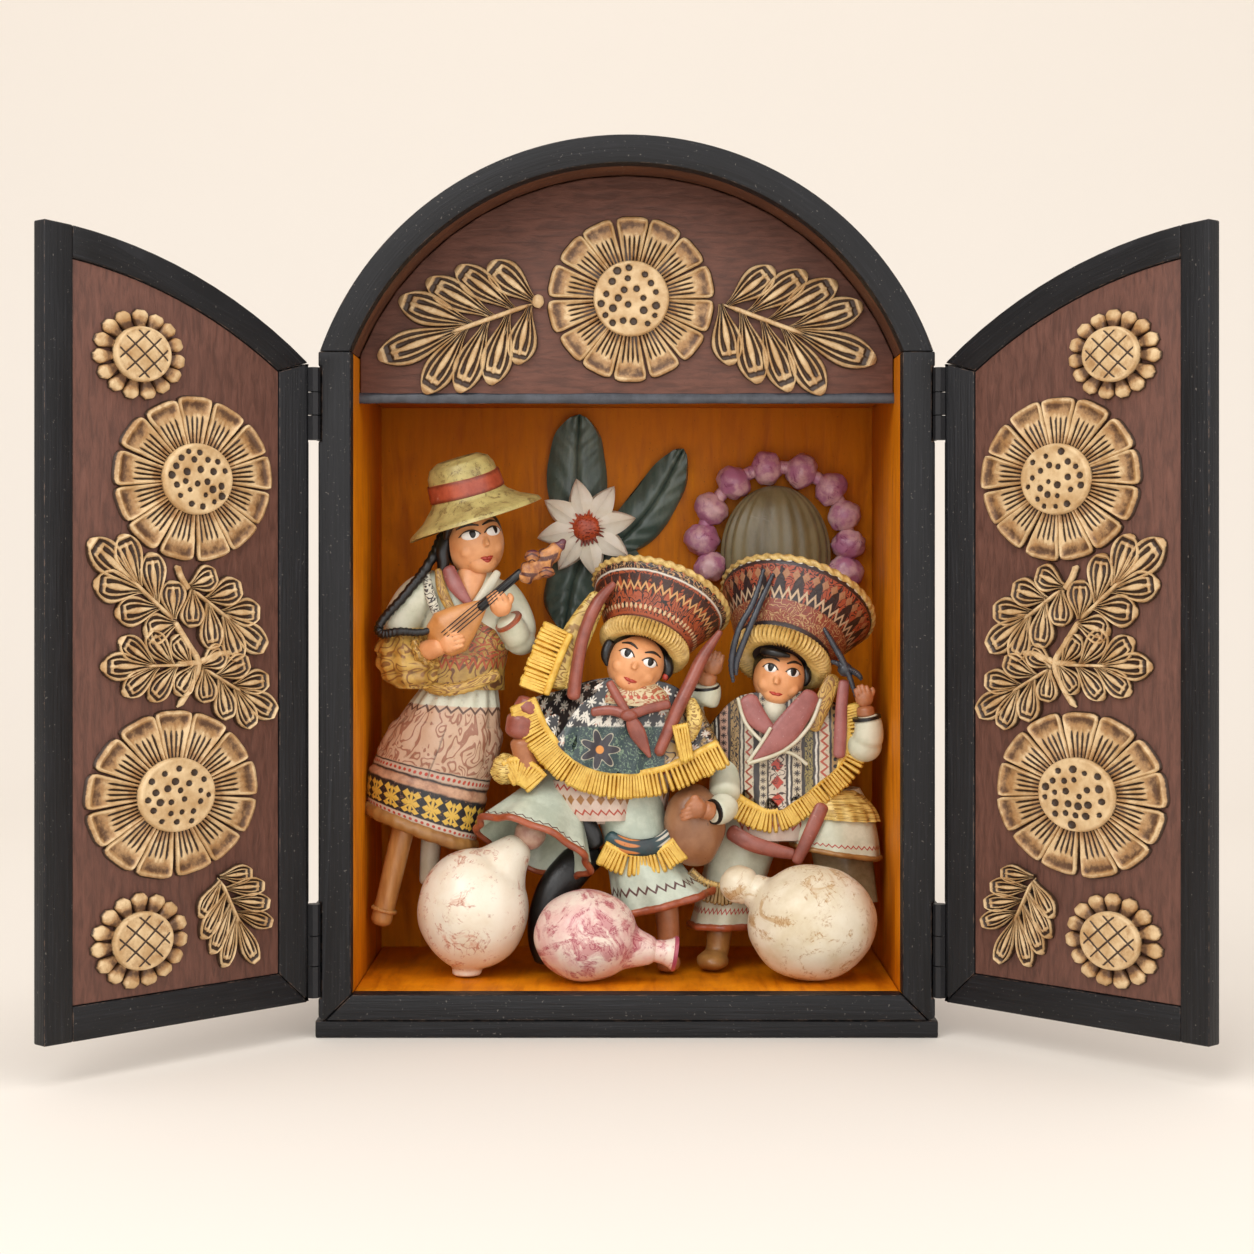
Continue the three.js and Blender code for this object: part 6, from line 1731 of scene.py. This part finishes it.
def makeRightDancer():
    body = [(at(65.5, 66, 136), 8, 7), (at(68.5, 68, 127), 25, 11), (at(70.5, 67.5, 110), 27.6, 12.8),
            (at(70, 68, 94), 23.6, 12.4, 0.45)]
    dress(ringBody("right_dancer_poncho_back", body, 90, 40, folded(0.02, 8, False)), stripePoncho,
          nodes=["right_dancer"])
    top = ((35, 120.5), (44, 131), (53, 135), (72, 136), (82, 133.5), (92, 128))
    edge = ((44, 94), (52, 88.4), (61.9, 85.3), (71, 90), (80, 97), (91, 107), (93.4, 118), (91, 130))
    cloakPiece("right_dancer_poncho", top, edge, (55.6, 51.2), 5.0, stripePoncho, 0.4, 7, 5.0)
    fringePiece("right_dancer_poncho_fringe", edge, 9.3, 51.4, 4.0, yellowFringe)
    hips = [(at(66, 67, 96), 22, 11), (at(64, 66, 86), 21, 11.5), (at(62, 65, 72), 17, 11)]
    dress(ringBody("right_dancer_tunic", hips, 90, 30, folded(0.03, 10)), tunicPaint)
    skirt = [(at(86, 68, 94), 14, 11), (at(87.6, 66, 84), 17.4, 13), (at(88.6, 64, 75), 18.6, 14.2, -0.05),
             (at(89.4, 63, 67), 18.8, 14.8, -0.16)]
    dress(ringBody("right_dancer_skirt", skirt, 120, 50, folded(0.035, 7)), skirtPlain)
    hemRoll("right_dancer_skirt_hem", at(89.4, 63, 67.6), 18.4, 14.4, -0.16, 1.2, ochre, 0.035, 7)
    under = [(at(91, 68, 72), 13, 10), (at(93, 68, 60), 12.6, 10), (at(95, 68, 47), 12, 9.4, -0.2)]
    dress(ringBody("right_dancer_underskirt", under, 90, 30, folded(0.07, 5)), underCloth)
    flounce = [(at(85, 66, 94), 13, 11), (at(87.4, 65, 87), 18.4, 13.6, -0.06),
               (at(88.4, 64.6, 81.6), 19.4, 14.6, -0.08)]
    dress(ringBody("right_dancer_flounce", flounce, 160, 36, folded(0.04, 18)), goldCloth)
    legs = [(at(54, 71, 85), 17, 12), (at(49, 69, 66), 14.6, 12), (at(44.4, 67, 50), 13.6, 11.8),
            (at(40.5, 65, 35.4), 13.4, 11.4)]
    dress(ringBody("right_dancer_trousers", legs, 110, 50, folded(0.045, 7)), skirtPlain)
    hemRoll("right_dancer_trouser_hem", at(40.6, 65, 36), 13.2, 11.2, 0, 1.5, hemRed, 0.045, 7)
    fringePiece("right_dancer_trouser_fringe", ((27, 61), (34, 55.5), (44, 54.5), (53, 60)), 8.6, 51.4, 3.0,
                goldFringe, 1.2)
    dress(tube("right_dancer_leg", [at(94, 67, 68), at(94.6, 67, 44), at(94, 67, 19)], [5.4, 4.8, 4.8], 16, 18),
          brownSkin)
    boot = [tube("ankle", [at(40, 62, 37), at(39, 61.4, 29), at(38.4, 60.6, 22.6)], [6, 5.2, 5.0], 20, 14),
            ball("toe", at(36.4, 57, 22), (7.0, 10, 4.2), 26, 16, 0.08, 2)]
    dress(blendParts("right_dancer_boot", boot, 0.7, 6), ochre)
    arm = [tube("arm", [at(86, 66, 124), at(93, 61, 116), at(99, 55, 112.6)], [6.4, 6.6, 6.4], 20, 18),
           ball("elbow", at(100.4, 53, 113), (7.4, 6.8, 6.8), 20, 14),
           tube("arm", [at(101, 52, 113), at(102, 50.4, 120), at(100.6, 49.8, 127)], [6.8, 6.2, 5.4], 20, 18)]
    dress(blendParts("right_dancer_arm_right", arm, 0.7, 4), mint)
    dress(tube("right_dancer_cuff_right", [at(101.1, 50, 124.6), at(100.9, 49.9, 125.8)], [6.2, 6.05], 22, 4,
               blunt=True), black)
    limb("right_dancer_wrist_right", [at(100.7, 49.8, 125), at(100.2, 49.4, 130.5)], [3.9, 3.6], brownSkin)
    hand("right_dancer_hand_right", at(99.8, 48.8, 133.6), 4.1, (-0.35, 0, 1), (1, 0, 0.3), brownSkin)
    arm = [tube("arm", [at(52, 70, 120), at(45, 66, 109), at(41.6, 57, 98), at(41.4, 49, 91)], [6.6, 6.6, 6.6, 6.8],
                20, 26),
           tube("arm", [at(41.6, 48, 90), at(39.4, 42.6, 87), at(35, 38.4, 86.6)], [6.8, 6.0, 5.2], 20, 18)]
    dress(blendParts("right_dancer_arm_left", arm, 0.7, 4), mint)
    dress(tube("right_dancer_cuff_left", [at(36.4, 39.4, 86.7), at(35.8, 38.9, 86.6)], [5.5, 5.35], 22, 4,
               blunt=True), black)
    limb("right_dancer_wrist_left", [at(36, 38.8, 86.6), at(31, 35.8, 88.2)], [4.1, 3.8], brownSkin)
    hand("right_dancer_hand_left", at(28.6, 34.4, 88.8), 4.8, (-0.9, 0, -0.35), (0.3, 0, 1), brownSkin)
    dress(ball("right_dancer_neckline", at(62.6, 56.2, 128), (5.4, 3.8, 6.4), 20, 14), creamCloth)
    dress(joinPieces("right_dancer_collar", [
        tube("lapel", [at(50.4, 52.4, 134.6), at(54.6, 50, 125.4), at(61.6, 48.8, 119)],
             [(3.8, 1.1), (4.4, 1.2), (2.2, 1.0)], 16, 26),
        tube("lapel", [at(79, 52.6, 136), at(72.4, 49.6, 127), at(64.6, 48, 117.6), at(53, 47.6, 107.6)],
             [(3.4, 1.1), (5.2, 1.2), (5.4, 1.2), (0.7, 0.7)], 16, 34)]),
        mauveBand)
    dress(joinPieces("right_dancer_collar_edge", [
        tube("edge", [at(46.8, 52, 133.6), at(50, 49.6, 123), at(57.6, 48.2, 114.4)], [0.8] * 3, 8, 30),
        tube("edge", [at(60.6, 47, 121.4), at(56, 47, 114), at(50.6, 47, 106.4)], [0.8] * 3, 8, 30),
        tube("edge", [at(82, 52.4, 133), at(76.6, 48.8, 121.4), at(66, 47.4, 111.4), at(50.6, 47, 106)], [0.85] * 4,
             8, 44),
        tube("edge", [at(65.4, 48, 111.6), at(71, 48, 109.4), at(76, 48.6, 105.4)], [0.8] * 3, 8, 30)]), creamCloth)
    straps = (((at(92, 54, 141), at(90.6, 52, 130), at(90, 50.6, 119), at(89.4, 50, 108)),
               ((2.3, 1.0), (2.5, 1.1), (2.7, 1.2), (2.5, 1.0))),)
    dress(joinPieces("right_dancer_strap", [tube("strap", p, r, 14, 34) for p, r in straps]), mauveBand)
    dress(tube("right_dancer_strap_gold", [at(88, 56, 143), at(83, 53, 131.6), at(78.4, 51.4, 119.4)],
               [(3.2, 0.9), (3.6, 1.0), (2.6, 0.9)], 14, 30), lacePaint)
    dress(joinPieces("right_dancer_sash", [
        tube("sash", [at(42.6, 54, 77.6), at(52, 50.6, 72.4), at(62, 50.4, 69.4), at(71, 51, 67.4)],
             [(3.4, 1.1), (3.4, 1.2), (3.0, 1.1), (2.2, 1.0)], 12, 26),
        tube("sash", [at(83, 52, 89), at(77.4, 49.8, 77), at(71, 49.6, 63.6)], [(3.0, 1.1), (3.0, 1.2), (2.2, 1.0)],
             12, 26)]), dustyRed)
    ribbons = [(at(58, 53, 188), at(53.4, 50.6, 174), at(47, 48.6, 162), at(44, 48.6, 149), at(44.8, 49, 140)),
               (at(62, 53, 186), at(56, 50.4, 173), at(50.4, 48.6, 160), at(46.6, 48.6, 150), at(46, 49, 143)),
               (at(83, 52, 163), at(87.6, 51, 155), at(92.4, 50, 146), at(97.6, 49.4, 131)),
               (at(86, 52, 149), at(91, 50.4, 147), at(97, 50, 143.6), at(99, 50, 141))]
    dress(joinPieces("right_dancer_ribbons",
                     [tube("ribbon", p, [(0.8, 0.7)] + [(1.3, 1.0)] * (len(p) - 2) + [(0.7, 0.6)], 12, 60,
                                                   wave=lambda u, v: 1 + 0.14 * math.sin(v * 150 + u * 6.283))
                      for p in ribbons]), ribbonBlue)
    dress(ball("right_dancer_ribbon_knot", at(92, 51.4, 145.4), (3.2, 2.4, 3.0), 18, 12, 0.15, 5), ribbonBlue)
    face = {"eyes": ((-5.0, 3.4), (4.7, 3.4)), "eye": (2.9, 1.8), "nose": (-1.6, -2.6), "mouth": (-0.6, -6.9)}
    origin, turn = facePieces("right_dancer", at(64.8, 60.6, 141.6), (11.1, 11, 12.1), 12, 0, face, skin)
    drops = [((at(75.6, 61, 147), at(76.6, 58.4, 142), at(75.4, 58, 138)), 1.8),
             ((at(57, 55, 153), at(62, 50.6, 152.4), at(69, 50.8, 151)), 1.7)]
    strandHair("right_dancer", origin, turn, (11.1, 11, 12.1), drops)
    flaredHat("right_dancer", at(64.6, 61.6, 146.6), at(71.8, 75.2, 166.6), 1.13, rightHatPaint, 1.34)


goldCloth = patterned("goldCloth", (0.82, 0.60, 0.18), (0.58, 0.38, 0.08),
                      [("Curls", 0.02, 0.98, (0.34, 0.18, 0.03), 4, 12)], scale=140)
collarPaint = patterned("collarPaint", (0.70, 0.58, 0.36), (0.58, 0.44, 0.22), [
    ("Curls", 0.3, 0.9, (0.42, 0.12, 0.05), 20, 4), ("Dots", 0.5, 0.7, (0.5, 0.08, 0.04), 34, 1)])
skirtPlain = patterned("skirtPlain", (0.72, 0.72, 0.56), (0.56, 0.57, 0.42),
                       [("Line", 0.74, 0.82, (0.45, 0.05, 0.03), 44, 1)])
underCloth = clay("underCloth", (0.34, 0.27, 0.15), (0.2, 0.15, 0.07), dark=(0.06, 0.035, 0.015), scale=110)
carvedHead = patterned("carvedHead", (0.62, 0.27, 0.08), (0.24, 0.07, 0.03), [
    ("Line", 0.1, 0.7, (0.10, 0.03, 0.02), 3, 2), ("fill", 0.74, 0.99, (0.12, 0.03, 0.045), 1, 1)], scale=200)
tealBand = patterned("tealBand", (0.012, 0.05, 0.055), (0.02, 0.03, 0.035), [
    ("Dots", 0.15, 0.55, (0.6, 0.2, 0.04), 7, 1), ("Dots", 0.55, 0.95, (0.6, 0.55, 0.45), 9, 1)])
ribbonBlue = clay("ribbonBlue", (0.02, 0.024, 0.034), (0.05, 0.055, 0.07), scale=160, rough=0.32)
dress(tube("tympanum_lower_edge", [at(-118.4, 31, 258.4), at(0, 31, 258.2), at(118.4, 31, 258.4)], [(2.1, 0.7)] * 3,
           12, 90,
           wave=lambda u, v: 1 + 0.1 * math.sin(v * 43) * math.sin(v * 17)), ribbonBlue, "box", "black_wood")
dress(ball("tympanum_bud", at(-36.6, 29.4, 298.2), (2.5, 2.0, 2.8), 20, 14, 0.1, 2), goldClay, "box", "gold_clay")
makeMusician()
makeCentreDancer()
makeRightDancer()
print("figures ready")


# Steel on the hinges, then paper, lamps and sky.
for name, node in frame["nodes"].items():
    if "hinge_" in name and ("leaf" in name or "case" in name):
        node.data.materials.clear()
        node.data.materials.append(blackSteel)

floorSize = {"half": 4.0, "rise": 4.0, "back": 1.6, "bend": 0.8}


def makePaper():
    material, tree, shader = newMaterial("paper")
    fine = objectNoise(tree, 3, 3, 0.5)
    tree.links.new(mixColor(tree, fine, studio["paper"], tuple(c * 0.985 for c in studio["paper"])),
                   shader.inputs["Base Color"])
    shader.inputs["Roughness"].default_value = 0.9
    return material


def makeFloor():
    def place(u, v):
        x = (u * 2 - 1) * floorSize["half"] / mm
        run = v * (floorSize["half"] + floorSize["back"] + floorSize["rise"]) - floorSize["half"]
        back, bend = floorSize["back"], floorSize["bend"]
        arcLength = bend * math.pi / 2
        if run < back - bend:
            y, z = run, 0
        elif run < back - bend + arcLength:
            turn = (run - back + bend) / bend
            y, z = back - bend + math.sin(turn) * bend, bend - math.cos(turn) * bend
        else:
            y, z = back, bend + run - back + bend - arcLength
        return Vector((x, y / mm, z / mm - 0.05))
    piece = gridPiece("studio_floor", 8, 90, place, close=False)
    piece.data.flip_normals()
    piece.data.materials.append(makePaper())


makeFloor()

areaLights = (
    ("key", (-0.75, -1.5, 1.35), 1.1, 15.0), ("fill", (1.2, -1.4, 0.85), 1.4, 6.5),
    ("top", (0.1, -0.3, 1.9), 1.3, 8.5), ("front", (0.0, -2.2, 0.5), 1.0, 5.0))
for name, place, size, power in areaLights:
    data = bpy.data.lights.new(name, "AREA")
    data.size = size
    data.energy = power
    lamp = bpy.data.objects.new(name, data)
    lamp.location = place
    aim = Vector((0, 0, 0.17)) - Vector(place)
    lamp.rotation_euler = aim.to_track_quat("-Z", "Y").to_euler()
    bpy.context.collection.objects.link(lamp)
world = bpy.data.worlds.new("studio")
bpy.context.scene.world = world
world.use_nodes = True
background = next(n for n in world.node_tree.nodes if n.type == "BACKGROUND")
background.inputs["Color"].default_value = (1.0, 0.955, 0.93, 1)
background.inputs["Strength"].default_value = studio["world"]
bpy.context.scene.view_settings.view_transform = "Standard"
print("studio ready")
